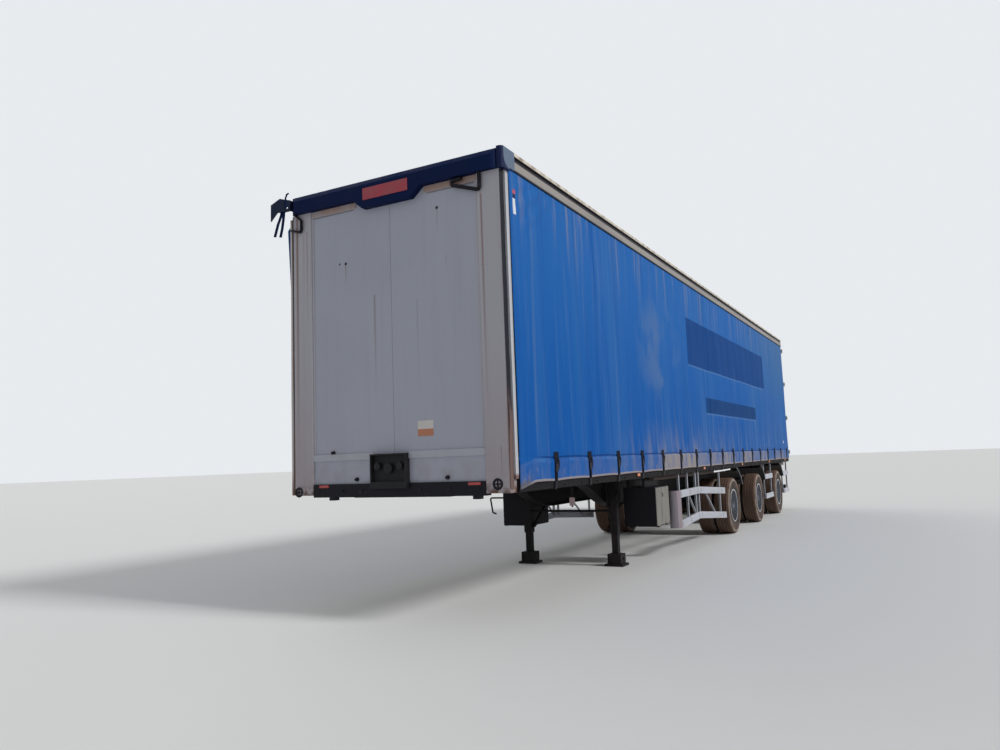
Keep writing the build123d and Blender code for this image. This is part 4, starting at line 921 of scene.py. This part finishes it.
# %% Straps and buckles
webbing = Finish("webbing_black", (0.008, 0.009, 0.017), 0.85, specular=0.1)
webbing.paint(webbing.noise(14, 5) * 0.5, (0.020, 0.020, 0.028))
webbing.relief(webbing.z.wave(0.004), 0.0006)
webbing = webbing.done()
buckle_steel = dusty_paint("buckle_black", (0.010, 0.011, 0.017), 0.12, rust=0.5, roughness=0.5)

rail_face = cloth_face + 0.004
strap_top = strap_high[2]
outer_limit = strap_high[0] - 0.0005
web_bands = (  # points out of the rail's face and up, half width, thickness, shift along y
    (((0, strap_top), (0.002, 1.47), (0.004, 1.425)), 0.030, 0.003, 0),
    (((0.004, 1.435), (0.003, 1.38), (0.001, 1.30), (-0.001, 1.235)), 0.0225, 0.003, 0),
    (((0.009, 1.365), (0.013, 1.30), (0.012, 1.25)), 0.017, 0.0025, 0),
    (((0, strap_top), (0.001, 1.505), (0.002, 1.470)), 0.052, 0.0035, 0),
    (((0.002, 1.472), (0.003, 1.440), (0.003, 1.425)), 0.040, 0.0035, 0),
    (((0.004, 1.470), (0.013, 1.440), (0.012, 1.390), (0.006, 1.350)), 0.015, 0.0025, 0.040),
)
hook_points = ((0.003, 1.250), (0.003, 1.190), (0.001, 1.1755), (-0.012, 1.1735), (-0.040, 1.1734))
roller_half = 0.028
tilt_level = 1.30


def ribbon(outline, half_width, thickness, shift=0.0):
    """A flat band down the rail's face, given its thickness outwards."""
    path = [(rail_face + x, shift, z) for x, z in outline]
    section = [(-half_width, 0), (half_width, 0), (half_width, thickness), (-half_width, thickness)]
    return swept(path, section, over=(1.0, 0.0, 0.0))


web_unit = joined([ribbon(*band) for band in web_bands])
metal = [ribbon(hook_points, 0.020, 0.0035)]
metal.append(brick((outer_limit - 0.004, -0.024, 1.345), (outer_limit, 0.024, 1.415)))
for edge in (-0.029, 0.024):
    metal.append(brick((rail_face + 0.003, edge, 1.335), (outer_limit - 0.002, edge + 0.005, 1.440)))
for radius, x, z in ((0.005, 0.009, 1.428), (0.004, 0.010, 1.345)):
    metal.append(turned(tube(-roller_half, roller_half, radius), (rail_face + x, 0, z), (0, 1, 0), 8))
metal_unit = joined(metal)

strap_random = np.random.default_rng(17)
strap_places = [(0, y, 0) for y in strap_ys]
for name, side in sides:
    tilts = strap_random.uniform(0.01, 0.13, strap_count)
    for kind, unit, finish in (("webbing", web_unit, webbing), ("buckles", metal_unit, buckle_steel)):
        points, faces = repeated(unit, strap_places)
        points[:, 1] += np.repeat(tilts, len(unit[0])) * (points[:, 2] - tilt_level)
        shape = (points, faces) if side > 0 else mirrored((points, faces))
        add_piece(f"strap_{kind}_{name}", shape, finish, replaces="curtain_straps")

# %% [markdown]
# The roof is pale coated cloth stretched over bows, so it dips a little between them. The bows show
# from inside the load space, as square tubes with rounded edges.

# %% Roof cloth and bows
roof_low, roof_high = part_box("roof")
bow_pitch = 1.0
bow_first = cad_box[0][1] + 0.76
bow_half = 0.025
bow_dip = 0.022
roof_level = roof_high[2] - 0.001
roof_finish = Finish("roof_cloth", (0.46, 0.455, 0.43), 0.62, specular=0.3)
roof_finish.paint(roof_finish.noise(1.6, 6).ease(0.38, 0.75) * 0.6, (0.25, 0.235, 0.21))
roof_finish.paint(roof_finish.noise(18, 4).ease(0.6, 0.8) * 0.4, red_dust)
roof_finish.relief(roof_finish.noise(3, 5), 0.004)


def roof_points():
    """z is the roof's level less a dip: the square of a sine between bows times the root of a
    cosine across."""
    x = np.linspace(roof_low[0], roof_high[0], 41)
    y = np.linspace(roof_low[1], roof_high[1], 241)
    x, y = np.meshgrid(x, y)
    between_bows = np.sin(pi * (y - bow_first) / bow_pitch) ** 2
    across = np.cos(0.5 * pi * x / roof_high[0]) ** 0.5
    return np.stack([x, y, roof_level - bow_dip * between_bows * across], axis=-1)


roof_cloth = add_piece("roof_cloth", grid(roof_points()), roof_finish.done(), closed=False,
                       replaces="roof")
give_thickness(roof_cloth, 0.0015)
bow = brick((roof_low[0], -bow_half, roof_low[2]), (roof_high[0], bow_half, roof_high[2] - 0.004))
bows = repeated(bow, [(0, y, 0) for y in np.arange(bow_first, roof_high[1], bow_pitch)])
add_piece("roof_bows", bows, galvanised, bevel=0.006, replaces="roof")

# %% [markdown]
# Each wheel set carries two tyres with straight rib treads. A tyre is one outline turned about the
# axle: bead, bulging side wall, rounded shoulder, and four grooves across the tread. Side wall
# rings and tread grooves are in the outline itself, so they catch light at any angle.

# %% Tyres
tread_radius = 0.500
bead_radius = 0.286
tyre_half = 0.1375
tread_half = 0.112
shoulder_half = 0.106
twin_spacing = 0.310
axle_spacing = 2.4
first_axle = float(middle("tyres_left_1")[1])

rubber = Finish("tyre_rubber", (0.026, 0.022, 0.021), 0.82, specular=0.2)
from_first = rubber.y - first_axle + 0.5 * axle_spacing
off_axle = from_first.step("MODULO", axle_spacing) - 0.5 * axle_spacing
radius = distance(off_axle, rubber.z - tread_radius)
rubber_dust = rubber.noise(9, 6).ease(0.30, 0.66)
# A pale ring near the shoulder of each side wall: partly dust, partly painted sunlight on the side wall.
ring_dust_and_sunlight = radius.between(0.438, 0.478, 0.010) * rubber_dust.ease(0.0, 1.0, 0.45, 0.85)
rubber.paint(rubber_dust * 0.75, (0.130, 0.092, 0.074))
rubber.paint(radius.ease(0.485, 0.495, 0.0, 0.85), (0.125, 0.076, 0.055))
rubber.paint(ring_dust_and_sunlight, (0.300, 0.240, 0.200))
rubber.paint(rubber.noise(30, 5).ease(0.60, 0.80, 0.0, 0.7), (0.05, 0.036, 0.03))
rubber.rough(rubber_dust, 0.97)
rubber.relief(rubber.noise(120, 4), 0.0012)
rubber = rubber.done()


def tyre_outline():
    """(across, radius) pairs from the inner bead over the tread to the outer bead. The side wall's
    radius follows a sine and its bulge a cosine, with two raised rings as bells."""
    angle = np.linspace(-0.5 * pi, 0.5 * pi, 17)
    centre = 0.5 * (tread_radius + bead_radius) + 0.012
    radius = centre + (0.5 * (tread_radius - bead_radius) - 0.010) * np.sin(angle)
    bulge = shoulder_half + (tyre_half - shoulder_half) * np.cos(angle) ** 0.8
    bulge += 0.0016 * bell(radius, 0.345, 0.006) + 0.002 * bell(radius, 0.455, 0.006)
    wall = np.stack([bulge, radius], axis=1)[(radius > 0.303) & (radius < 0.489)]
    bead = [(0.100, bead_radius), (0.112, bead_radius + 0.006), (0.108, bead_radius + 0.016)]
    half = np.vstack([bead, wall, [(tread_half + 0.006, 0.4925), (tread_half, 0.4975)]])
    groove = ((0.0075, 0.0005), (0.0050, 0.011), (-0.0050, 0.011), (-0.0075, 0.0005))
    tread = [(at + x, tread_radius - depth) for at in (0.072, 0.026, -0.026, -0.072) for x, depth in groove]
    return np.vstack([half, tread, half[::-1] * np.array([-1.0, 1.0])])


tyre_steps = 108
for name, side in sides:
    for number in wheel_numbers:
        node = f"tyres_{name}_{number}"
        low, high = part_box(node)
        outer = (high[0] if side > 0 else low[0]) - side * tyre_half
        pair = []
        for shift in (0.0, twin_spacing):
            centre = (outer - side * shift, middle(node)[1], tread_radius)
            outline = tyre_outline() * np.array([side, 1.0])
            pair.append(turned(outline, centre, (1, 0, 0), tyre_steps, closed=True))
        body = f"wheels_{name}_{number}"
        add_piece(f"tyre_pair_{name}_{number}", joined(pair), rubber, body, replaces=node)

# %% [markdown]
# The deep polished rims get what the solids leave out: a rolled bead on the lip, ten nuts with
# studs, a ring of bolts on the hub, a domed hub cap and a valve.

# %% Rim lips, nuts and valves
lip_radius = 0.0075
wheel_bolts = 10
nut_ring, nut_start = 0.1675, 0.31
hub_ring = 0.088
valve_ring, valve_angle = 0.222, 1.2
disc_x, hub_x, cap_x = 1.003, 1.090, 1.135
cap_dome = ((0, 0.0), (0, 0.062), (0.006, 0.058), (0.011, 0.030), (0.012, 0.0))
for name, side in sides:
    out = (side, 0, 0)
    for number in wheel_numbers:
        node = f"rim_{name}_{number}"
        low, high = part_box(node)
        centre = middle(node) * np.array([0, 1, 1])
        lip_x = (high[0] if side > 0 else low[0]) - side * lip_radius
        disc, studs, hub, cap = (centre + (side * x, 0, 0) for x in (disc_x, disc_x + 0.032, hub_x, cap_x))
        lip_outline = circle(lip_radius, 10) + (0.0, 0.5 * (high[1] - low[1]) - lip_radius)
        valve = disc + (0, valve_ring * cos(valve_angle), valve_ring * sin(valve_angle))
        valve_path = [valve, valve + (side * 0.03, 0, 0), valve + (side * 0.06, 0.006, 0.014)]
        shape = joined([
            turned(lip_outline, centre + (lip_x, 0, 0), (1, 0, 0), 72, closed=True),
            hex_bolts(ring_places(disc, nut_ring, wheel_bolts, nut_start), out, 0.017, 0.028),
            heads(ring_places(studs, nut_ring, wheel_bolts, nut_start), out, 0.009, 0.012),
            heads(ring_places(hub, hub_ring, wheel_bolts), out, 0.008, 0.008),
            turned([(side * x, r) for x, r in cap_dome], cap, (1, 0, 0), 24),
            swept(valve_path, circle(0.004, 8)),
        ])
        add_piece(f"rim_fittings_{name}_{number}", shape, polished, f"wheels_{name}_{number}")

# %% [markdown]
# Small parts of the front: a frame strip under the cap and down both edges of the wall, rivet rows
# beside it, the blank label, three knobs, the rings low in the posts, and the red markers and bolts
# of the beam. A flat plate or a rivet reaches a little into what carries it, so no light shows under.

# %% Front wall trim
wall_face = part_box("front_wall")[0][1]
post_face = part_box("front_posts")[0][1]
beam_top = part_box("front_beam")[1][2]
forward = (0, -1, 0)
root = 0.001


def plate(low_x, high_x, low_z, high_z, depth, face):
    """A flat piece on a face that looks forward."""
    return brick((low_x, face - depth, low_z), (high_x, face + root, high_z))


trim = aged_white("trim_white", (0.385, 0.385, 0.435))
trim.paint(trim.z.ease(4.04, 4.07) * trim.noise(5).ease(0.3, 0.6, 0.5, 1.0), (0.34, 0.235, 0.205))
trim.relief(trim.noise(20), 0.0008)
trim_white = trim.done()
trim_edge, trim_inner, head_inner = 0.998, 0.975, 0.415
trim_levels = (1.588, 4.055, 4.119)
trim_depth = 0.007
strips = []
for side in (-1, 1):
    strips.append(plate(side * trim_edge, side * head_inner, *trim_levels[1:], 0.010, wall_face))
    strips.append(plate(side * trim_edge, side * trim_inner, *trim_levels[:2], trim_depth, wall_face))
add_piece("wall_trim", joined(strips), trim_white, bevel=0.002)

rivets = []
for x, depth in ((-0.986, trim_depth), (-0.022, 0.0), (0.022, 0.0), (0.986, trim_depth)):
    rivets += [(x, wall_face - depth, z) for z in np.arange(1.66, 4.02, 0.115)]
rivets += [(x, wall_face - 0.012, 1.552) for x in np.arange(-0.95, 0.96, 0.095) if not -0.27 < x < 0.19]
add_piece("wall_rivets", heads(rivets, forward, 0.0045, 0.003, 6), trim_white)

label = Finish("blank_label", (0.62, 0.60, 0.58), 0.5)
label.paint(label.z.fade(1.785, 1.787), (0.46, 0.15, 0.06))
label.paint(label.noise(30, 5) * 0.35, (0.35, 0.28, 0.25))
label.relief(label.noise(80), 0.0003)
label_shape = plate(0.275, 0.450, 1.720, 1.865, 0.0015, wall_face)
add_piece("blank_label", label_shape, label.done(), bevel=0.0005)

knob = [(0, 0), (0, 0.020), (0.008, 0.020), (0.010, 0.011), (0.024, 0.011), (0.028, 0.016), (0.036, 0.012),
        (0.038, 0)]
knob_places = ((-0.452, 1.332), (0.596, 1.330), (-0.745, 1.60))
knobs = joined([turned(knob, (x, wall_face, z), forward, 14) for x, z in knob_places])
add_piece("wall_knobs", knobs, buckle_steel)

ring = [(-0.004, 0.030), (-0.004, 0.050), (0.004, 0.052), (0.008, 0.046), (0.006, 0.032), (-0.004, 0.030)]
ring_shapes = []
for x, z in ((1.125, 1.260), (-1.190, 1.215)):
    ring_shapes.append(turned(ring, (x, post_face, z), forward, 28))
    for reach_x, reach_z in ((0.030, 0.006), (0.006, 0.030)):
        ring_shapes.append(plate(x - reach_x, x + reach_x, z - reach_z, z + reach_z, 0.006, post_face))
add_piece("post_rings", joined(ring_shapes), buckle_steel)

marker_levels = (beam_top - 0.035, beam_top - 0.008)
markers = [plate(*ends, *marker_levels, 0.006, post_face) for ends in ((-0.92, -0.80), (0.82, 0.95))]
add_piece("beam_markers", joined(markers), red_lens, bevel=0.003)
bolt_places = [(x, post_face, 1.225) for x in (-0.93, -0.62, -0.38, 0.30, 0.62, 0.93)]
add_piece("beam_bolts", hex_bolts(bolt_places, forward, 0.011, 0.009), buckle_steel)

# %% [markdown]
# A rubber seal lies on the outer side of each post, in front of the pale edge strip. The left one
# has come loose near the foot, where it bulges out and has gone brown. It is a narrow strip carried
# down a path that wanders.

# %% Post seals
seal = Finish("seal_rubber", (0.010, 0.011, 0.019), 0.7, specular=0.2)
seal.paint((seal.noise(5, 4) * 0.5 + seal.z).fade(1.95, 2.45), (0.135, 0.088, 0.080))
seal.paint(seal.noise(10, 3, (1, 1, 0.2)).ease(0.5, 0.8) * 0.5, (0.07, 0.06, 0.06))
seal.relief(seal.noise(40, 4), 0.001)
seal_z = np.linspace(1.215, 4.115, 90)
seal_bulge = 0.014 * bell(seal_z, 1.85, 0.16) + 0.002 * np.sin(9 * seal_z)
seal_half = 0.0315
seal_y = post_face + seal_half + root
seal_x = 1.2515
seal_section = [(-seal_half, -root), (seal_half, -root), (seal_half, 0.002), (0.012, 0.006),
                (-0.012, 0.006), (-seal_half, 0.002)]
seals = []
for bulge in (np.clip(seal_bulge, 0, 1), 0 * seal_z):
    path = np.stack([seal_x + bulge, np.full_like(seal_z, seal_y), seal_z], axis=1)
    seals.append(swept(path, seal_section, over=(1.0, 0.0, 0.0)))
add_piece("post_seals", joined([seals[0], mirrored(seals[1])]), seal.done())

# %% [markdown]
# When the corner cap tore loose it took its edging with it. Two rubber strips now hang behind the
# torn piece, a third curls up, and one pale rivet head is left in it. Below, the profile that edged
# the far post stands off by its own width. Each is a section swept down a path.

# %% Torn corner
backwards = (0.0, 1.0, 0.0)
torn_paths = (
    [(-1.325, -7.775, 4.19), (-1.340, -7.780, 4.12), (-1.375, -7.790, 4.03), (-1.410, -7.800, 3.90)],
    [(-1.305, -7.770, 4.19), (-1.312, -7.775, 4.08), (-1.325, -7.780, 3.98), (-1.345, -7.785, 3.89)],
)
torn_strips = joined([swept(path, flat_bar(0.0175, 0.003), backwards) for path in torn_paths])
add_piece("torn_strips", torn_strips, cap_black, bevel=0.001)
torn_rivet = heads([(-1.266, -7.768, 4.20)], (0.5, -0.866, 0.0), 0.012, 0.006)
add_piece("torn_rivet", torn_rivet, polished)
hook_bends = ((-1.272, 4.20), (-1.282, 4.26), (-1.280, 4.31), (-1.262, 4.346), (-1.238, 4.352))
torn_hook = swept([(x, -7.775, z) for x, z in hook_bends], circle(0.009, 10), backwards)
add_piece("torn_hook", torn_hook, cap_black)

loose_x, loose_y, loose_radius = -1.2825, -7.665, 0.0265
loose_edge = Finish("loose_edge_white", (0.540, 0.510, 0.500), 0.5, specular=0.2)
loose_rust = loose_edge.noise(7, 5, (1, 1, 0.12)).ease(0.30, 0.60, 0.4, 1.0)
loose_inner = loose_edge.x.ease(loose_x + 0.004, loose_x + 0.014)
loose_edge.paint(loose_inner * loose_rust, (0.165, 0.085, 0.060))
loose_edge.paint(loose_edge.z.fade(1.20, 1.45, 0.9), (0.150, 0.080, 0.060))
loose_edge.relief(loose_edge.noise(30, 3, (1, 1, 0.3)), 0.0008)
loose_bends = ((0.0, 1.185), (-0.003, 2.20), (0.002, 3.20), (0.0, 4.09))
loose_path = [(loose_x + x, loose_y, z) for x, z in loose_bends]
loose_profile = swept(loose_path, circle(loose_radius, 20), backwards)
add_piece("loose_edge", loose_profile, loose_edge.done())

# %% [markdown]
# Fastenings run along the whole trailer: bolts between the straps on the side rails, rivets on the
# roof rails, bolts where the guard rails meet their posts, and fine ridges pressed into the guard
# rails. They are kept clear of the strap hooks by placing them at quarters of the strap pitch.

# %% Rows of fastenings
rail_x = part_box("side_rails")[1][0]
roof_rail_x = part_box("roof_rails")[1][0] - 0.008
guard_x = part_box("side_guards")[1][0]
quarters = [y + share * strap_pitch for share in (0.25, 0.75) for y in strap_ys[:-1]]
roof_rivet_ys = np.arange(-7.3, 7.4, 0.30)
guard_ys = (-2.470, -1.438, 0.320)
front_levels = ((0.888, 0.897, 0.800), (0.460, 0.512, 0.380))
rear_guards = ((4.231, 5.120), (6.588, 7.348))
rear_levels = (0.905, 0.480)
guard_lines = [list(zip(guard_ys, levels)) for levels in front_levels]
guard_bolts = []
for y in (-2.425, -1.970, -1.508, -1.328, 0.070):
    for levels in front_levels:
        guard_bolts += [(y, float(np.interp(y, guard_ys, levels)) + dz) for dz in (0.017, -0.017)]
for low_y, high_y in rear_guards:
    for level in rear_levels:
        guard_lines.append([(y, level) for y in (low_y, 0.5 * (low_y + high_y), high_y)])
        guard_bolts += [(low_y + 0.03, level), (high_y - 0.03, level)]
ridge_section = [(-0.002, -0.001), (0.002, -0.001), (0.0, 0.002)]
for name, side in sides:
    out = (side, 0, 0)
    rail_bolts = hex_bolts([(side * rail_x, y, 1.208) for y in quarters], out, 0.008, 0.006)
    add_piece(f"rail_bolts_{name}", rail_bolts, rail_black)
    rivets = heads([(side * roof_rail_x, y, 4.205) for y in roof_rivet_ys], out, 0.007, 0.003)
    add_piece(f"roof_rail_rivets_{name}", rivets, galvanised)
    ridges = []
    for line in guard_lines:
        for offset in (-0.034, 0.0, 0.034):
            path = [(side * guard_x, y, z + offset) for y, z in line]
            ridges.append(swept(path, ridge_section, out))
    add_piece(f"guard_ridges_{name}", joined(ridges), guard_metal)
    bolts = hex_bolts([(side * guard_x, y, z) for y, z in guard_bolts], out, 0.008, 0.005)
    add_piece(f"guard_bolts_{name}", bolts, galvanised)

# %% [markdown]
# A fender's outer edge is rolled to a bead, whose pale grey is a painted highlight. It follows the
# fender's own arc, whose centre stands a little behind and below the axle. Behind each pair of tyres
# two brake chambers sit on the axle, and bolts bent to a U clamp the springs down.

# %% Fender beads, brakes and spring clamps
fender_radius = 0.764
fender_shift = 0.180
fender_centre_z = 0.440
fender_angle = np.radians(np.linspace(32.0, 75.4, 25))
bead_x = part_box("fenders")[1][0] - 0.002
spring_x = 0.5
chamber = [(-0.08, 0.0), (-0.08, 0.052), (-0.02, 0.078), (0.0, 0.082), (0.012, 0.082), (0.03, 0.074),
           (0.085, 0.066), (0.095, 0.050), (0.095, 0.0)]
beads, brakes, clamps = [], [], []
for axle_y in [first_axle + number * axle_spacing for number in range(3)]:
    for side in (1, -1):
        arc_y = axle_y + fender_shift + fender_radius * np.cos(fender_angle)
        arc_z = fender_centre_z + fender_radius * np.sin(fender_angle)
        arc = np.stack([np.full_like(arc_y, side * bead_x), arc_y, arc_z], axis=1)
        beads.append(swept(arc, circle(0.008, 10), (1.0, 0.0, 0.0)))
        brakes.append(turned(chamber, (side * 0.33, axle_y - 0.20, 0.60), forward, 24))
        brakes.append(block((side * 0.33, axle_y - 0.08, 0.57), (0.12, 0.10, 0.14)))
        x = side * spring_x
        for dx, dy in ((-0.036, -0.052), (-0.036, 0.052), (0.036, -0.052), (0.036, 0.052)):
            rod = [(x + dx, axle_y + dy, z) for z in (0.415, 0.52, 0.672)]
            clamps.append(swept(rod, circle(0.008, 8), (1.0, 0.0, 0.0)))
        clamps.append(block((x, axle_y, 0.431), (0.096, 0.136, 0.014)))
        clamps += [block((x, axle_y + reach, 0.649), (0.098, 0.028, 0.074)) for reach in (-0.30, 0.30)]
# The bead's pale grey is a painted highlight along the fender's edge.
bead_highlight_grey = weathered_plastic("bead_highlight_grey", (0.20, 0.20, 0.22), (0.30, 0.30, 0.32))
add_piece("fender_beads", joined(beads), bead_highlight_grey)
add_piece("brake_chambers", joined(brakes), gear_black)
add_piece("spring_clamps", joined(clamps), gear_black)

# %% [markdown]
# The underside gets what an inspector would look for: domed ends, straps and drain taps on the air
# tanks, air lines along the beams, a gear cover where the crank enters its leg, and bolts through
# the legs' sleeves and feet. Beside them go the stowed tube's pale cap, the pale bar below the side
# rail and a blank tag on its hanger.

# %% Tanks, air lines and landing gear
tank_low, tank_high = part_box("air_tanks")
tank_z = tank_low[2] + 0.120
tank_end = [(-0.004, 0.0), (-0.004, 0.119), (0.010, 0.115), (0.030, 0.095), (0.044, 0.055), (0.048, 0.0)]
tank_strap = tube(-0.016, 0.016, 0.123, 0.118)
tank_shapes = []
for y in (tank_low[1] + 0.270, tank_high[1] - 0.270):
    tank_shapes.append(heads([(0.0, y, tank_z - 0.118)], (0, 0, -1), 0.014, 0.022, 12))
    for side in (1, -1):
        tank_shapes.append(turned(tank_end, (side * tank_high[0], y, tank_z), (side, 0, 0), 32))
        tank_shapes.append(turned(tank_strap, (side * 0.21, y, tank_z), (1, 0, 0), 48, closed=True))
add_piece("tank_fittings", joined(tank_shapes), chassis_black)

line_shapes = []
neck_bends = ((-7.55, 1.169), (-5.0, 1.169), (-4.75, 1.150), (-4.40, 1.165))
for x, end_y in ((0.30, -2.20), (0.325, -1.90), (-0.31, 5.20)):
    bends = neck_bends + ((end_y - 0.3, 1.165), (end_y, 1.140))
    line_shapes.append(swept([(x, y, z) for y, z in bends], circle(0.008, 8)))
hose_black = weathered_plastic("hose_black", (0.010, 0.010, 0.011), (0.025, 0.025, 0.027))
add_piece("air_lines", joined(line_shapes), hose_black)

leg_x, leg_y, gear_z, foot_z = 0.650, -3.590, 0.920, 0.095
leg_face = leg_x + 0.055
rim_profile = [(-0.002, 0.0), (-0.002, 0.078), (0.016, 0.078), (0.024, 0.060)]
gear_ends = {-1: [(0.040, 0.034), (0.052, 0.030), (0.052, 0.0)], 1: [(0.026, 0.0)]}
leg_shapes = []
for side, gear_end in gear_ends.items():
    out = (side, 0, 0)
    leg_shapes.append(turned(rim_profile + gear_end, (side * leg_face, leg_y, gear_z), out, 28))
    around = ring_places(np.array([side * (leg_face + 0.015), leg_y, gear_z]), 0.066, 6)
    leg_shapes.append(hex_bolts(around, out, 0.006, 0.004))
    leg_shapes.append(hex_bolts([(side * (leg_x + 0.095), leg_y, foot_z)], out, 0.016, 0.014))
    sleeve = [(side * leg_x + dx, leg_y - 0.055, z) for dx in (-0.032, 0.032) for z in (0.47, 0.62)]
    leg_shapes.append(hex_bolts(sleeve, forward, 0.008, 0.006))
add_piece("leg_gear_covers", joined(leg_shapes), gear_black)

pale_clouds = (20, 4, 0.45, 0.8, 0.4, (0.55, 0.52, 0.50))
pale = clouded("pale_plastic", (0.78, 0.78, 0.80), pale_clouds, (90, 0.0003))
cap_profile = [(-0.02, 0.0), (-0.02, 0.0365), (0.004, 0.0365), (0.007, 0.024), (0.007, 0.0)]
tube_end = middle("stowed_tube")
tube_end[1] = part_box("stowed_tube")[1][1]
add_piece("tube_cap", turned(cap_profile, tube_end, (0, 1, 0), 28), pale)
bar_x, bar_top = 1.257, 1.182
bar_path = [(bar_x, -0.38, 1.148), (bar_x, 0.20, 1.152), (bar_x, 0.85, 1.158)]
bar_shapes = [swept(bar_path, flat_bar(0.006, 0.011))]
for y, z in ((-0.33, 1.150), (0.78, 1.158)):
    bar_shapes.append(brick((bar_x - 0.004, y, z), (bar_x + 0.004, y + 0.02, bar_top)))
add_piece("pale_bar", joined(bar_shapes), pale, bevel=0.001)

tag_hanger = brick((0.985, -5.795, 0.930), (1.005, -5.787, 1.181))
add_piece("tag_hanger", tag_hanger, chassis_black, bevel=0.001)
pink_clouds = (25, 4, 0.4, 0.7, 0.5, (0.34, 0.24, 0.25))
tag_pink = clouded("blank_tag_pink", (0.46, 0.33, 0.34), pink_clouds, (90, 0.0003))
blank_tag = brick((0.965, -5.798, 0.945), (1.028, -5.794, 1.035))
add_piece("blank_tag", blank_tag, tag_pink, bevel=0.001)

# %% [markdown]
# The lids have a turning latch and hinge bolts, which ride on the lid. The doors carry rubber edges,
# bolts through their hinge blades, collars on the lock rods and catches for the handles, and these
# ride on the doors. Each is made for the left side and mirrored. The rear lamps and the socket box
# get round lenses and lids.

# %% Lids, doors and rear lamps
outwards, rearwards, upwards = (1, 0, 0), (0, 1, 0), (0, 0, 1)
lid_low, lid_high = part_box("tool_box_lid_left")
lid_y = 0.5 * (lid_low[1] + lid_high[1])
lid_face = 1.179
knob = [(-0.001, 0.0), (-0.001, 0.030), (0.004, 0.030), (0.006, 0.014), (0.014, 0.012), (0.016, 0.0)]
lid_bolts = [(lid_face, y, z) for y in (lid_low[1] + 0.03, lid_high[1] - 0.03) for z in (0.56, 0.78, 0.99)]
latch = joined([
    turned(knob, (lid_face, lid_y, 0.940), outwards, 24),
    brick((lid_face + 0.008, lid_y - 0.008, 0.885), (lid_face + 0.015, lid_y + 0.008, 0.950)),
    heads(lid_bolts, outwards, 0.006, 0.003),
])

(low_x, _, low_z), (high_x, door_face, high_z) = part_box("rear_door_left")
edge, edge_depth = 0.018, 0.005
edge_boxes = [(low_x, high_x, z, z + edge) for z in (low_z, high_z - edge)]
edge_boxes += [(x, x + edge, low_z + edge, high_z - edge) for x in (low_x, high_x - edge)]
rubber_edges = joined([
    brick((x, door_face - root, z), (other_x, door_face + edge_depth, other_z))
    for x, other_x, z, other_z in edge_boxes
])
rod_xs = (0.17, 0.90)
hinge_levels = np.linspace(low_z + 0.205, high_z - 0.205, 4)
bracket_levels = np.linspace(low_z + 0.285, high_z - 0.285, 4)
hinge_bolts = [(x, door_face + 0.008, z) for x in (0.97, 1.05, 1.13, 1.19) for z in hinge_levels]
bracket_bolts = [
    (x + dx, door_face, z + dz)
    for x in rod_xs for dx in (-0.048, 0.048) for dz in (-0.012, 0.012) for z in bracket_levels
]
door_bolts = joined([
    hex_bolts(hinge_bolts, rearwards, 0.009, 0.006),
    hex_bolts(bracket_bolts, rearwards, 0.006, 0.005),
])
collar = tube(-0.012, 0.012, 0.0165, 0.013)
rod_parts = [
    turned(collar, (x, door_face + 0.028, z + dz), upwards, 20, closed=True)
    for x in rod_xs for z in bracket_levels for dz in (-0.034, 0.034)
]
for x, half, reach, foot, top in (  # catches: middle, half width, reach and levels
    (0.54, 0.020, 0.018, 1.612, 1.630),
    (0.53, 0.020, 0.018, 1.612, 1.630),
    (0.600, 0.004, 0.040, 1.625, 1.690),
    (0.470, 0.004, 0.040, 1.625, 1.690),
):
    rod_parts.append(brick((x - half, door_face - root, foot), (x + half, door_face + reach, top)))
rod_collars = joined(rod_parts)
door_rubber = weathered_plastic("door_rubber", (0.010, 0.010, 0.012), (0.030, 0.030, 0.032))
for kind, shape, body, slot, finish in (
    ("latch", latch, "tool_box_lid", "tool_box_lid", galvanised),
    ("door_edges", rubber_edges, "rear_door", "rear_door", door_rubber),
    ("door_bolts", door_bolts, "rear_door", "door_fittings", galvanised),
    ("rod_collars", rod_collars, "rear_door", "door_fittings", galvanised),
):
    for name, side in sides:
        shape = shape if side > 0 else mirrored(shape)
        add_piece(f"{kind}_{name}", shape, finish, f"{body}_{name}")

lamp_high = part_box("rear_lamps")[1]
lamp_z = middle("rear_lamps")[2]
round_lens = [(-0.001, 0.0), (-0.001, 0.044), (0.003, 0.044), (0.004, 0.040), (0.007, 0.034),
              (0.009, 0.018), (0.0095, 0.0)]
for kind, xs, finish in (("red", (0.705, 0.955), red_lens), ("amber", (0.830,), amber_lens)):
    places = [(side * x, lamp_high[1], lamp_z) for side in (1, -1) for x in xs]
    lenses = joined([turned(round_lens, place, rearwards, 28) for place in places])
    add_piece(f"rear_lenses_{kind}", lenses, finish)

socket_face = -7.734
sockets = []
for x, z, radius in ((-0.170, 1.450, 0.030), (0.090, 1.450, 0.030), (-0.040, 1.430, 0.042)):
    lid = [(0.0, 0.0), (0.0, radius + 0.005), (0.006, radius + 0.005), (0.010, 0.8 * radius), (0.010, 0.0)]
    sockets.append(turned(lid, (x, socket_face, z), forward, 24))
    sockets.append(block((x, socket_face - 0.002, z + radius + 0.005), (0.024, 0.012, 0.018)))
add_piece("socket_lids", joined(sockets), socket_black)
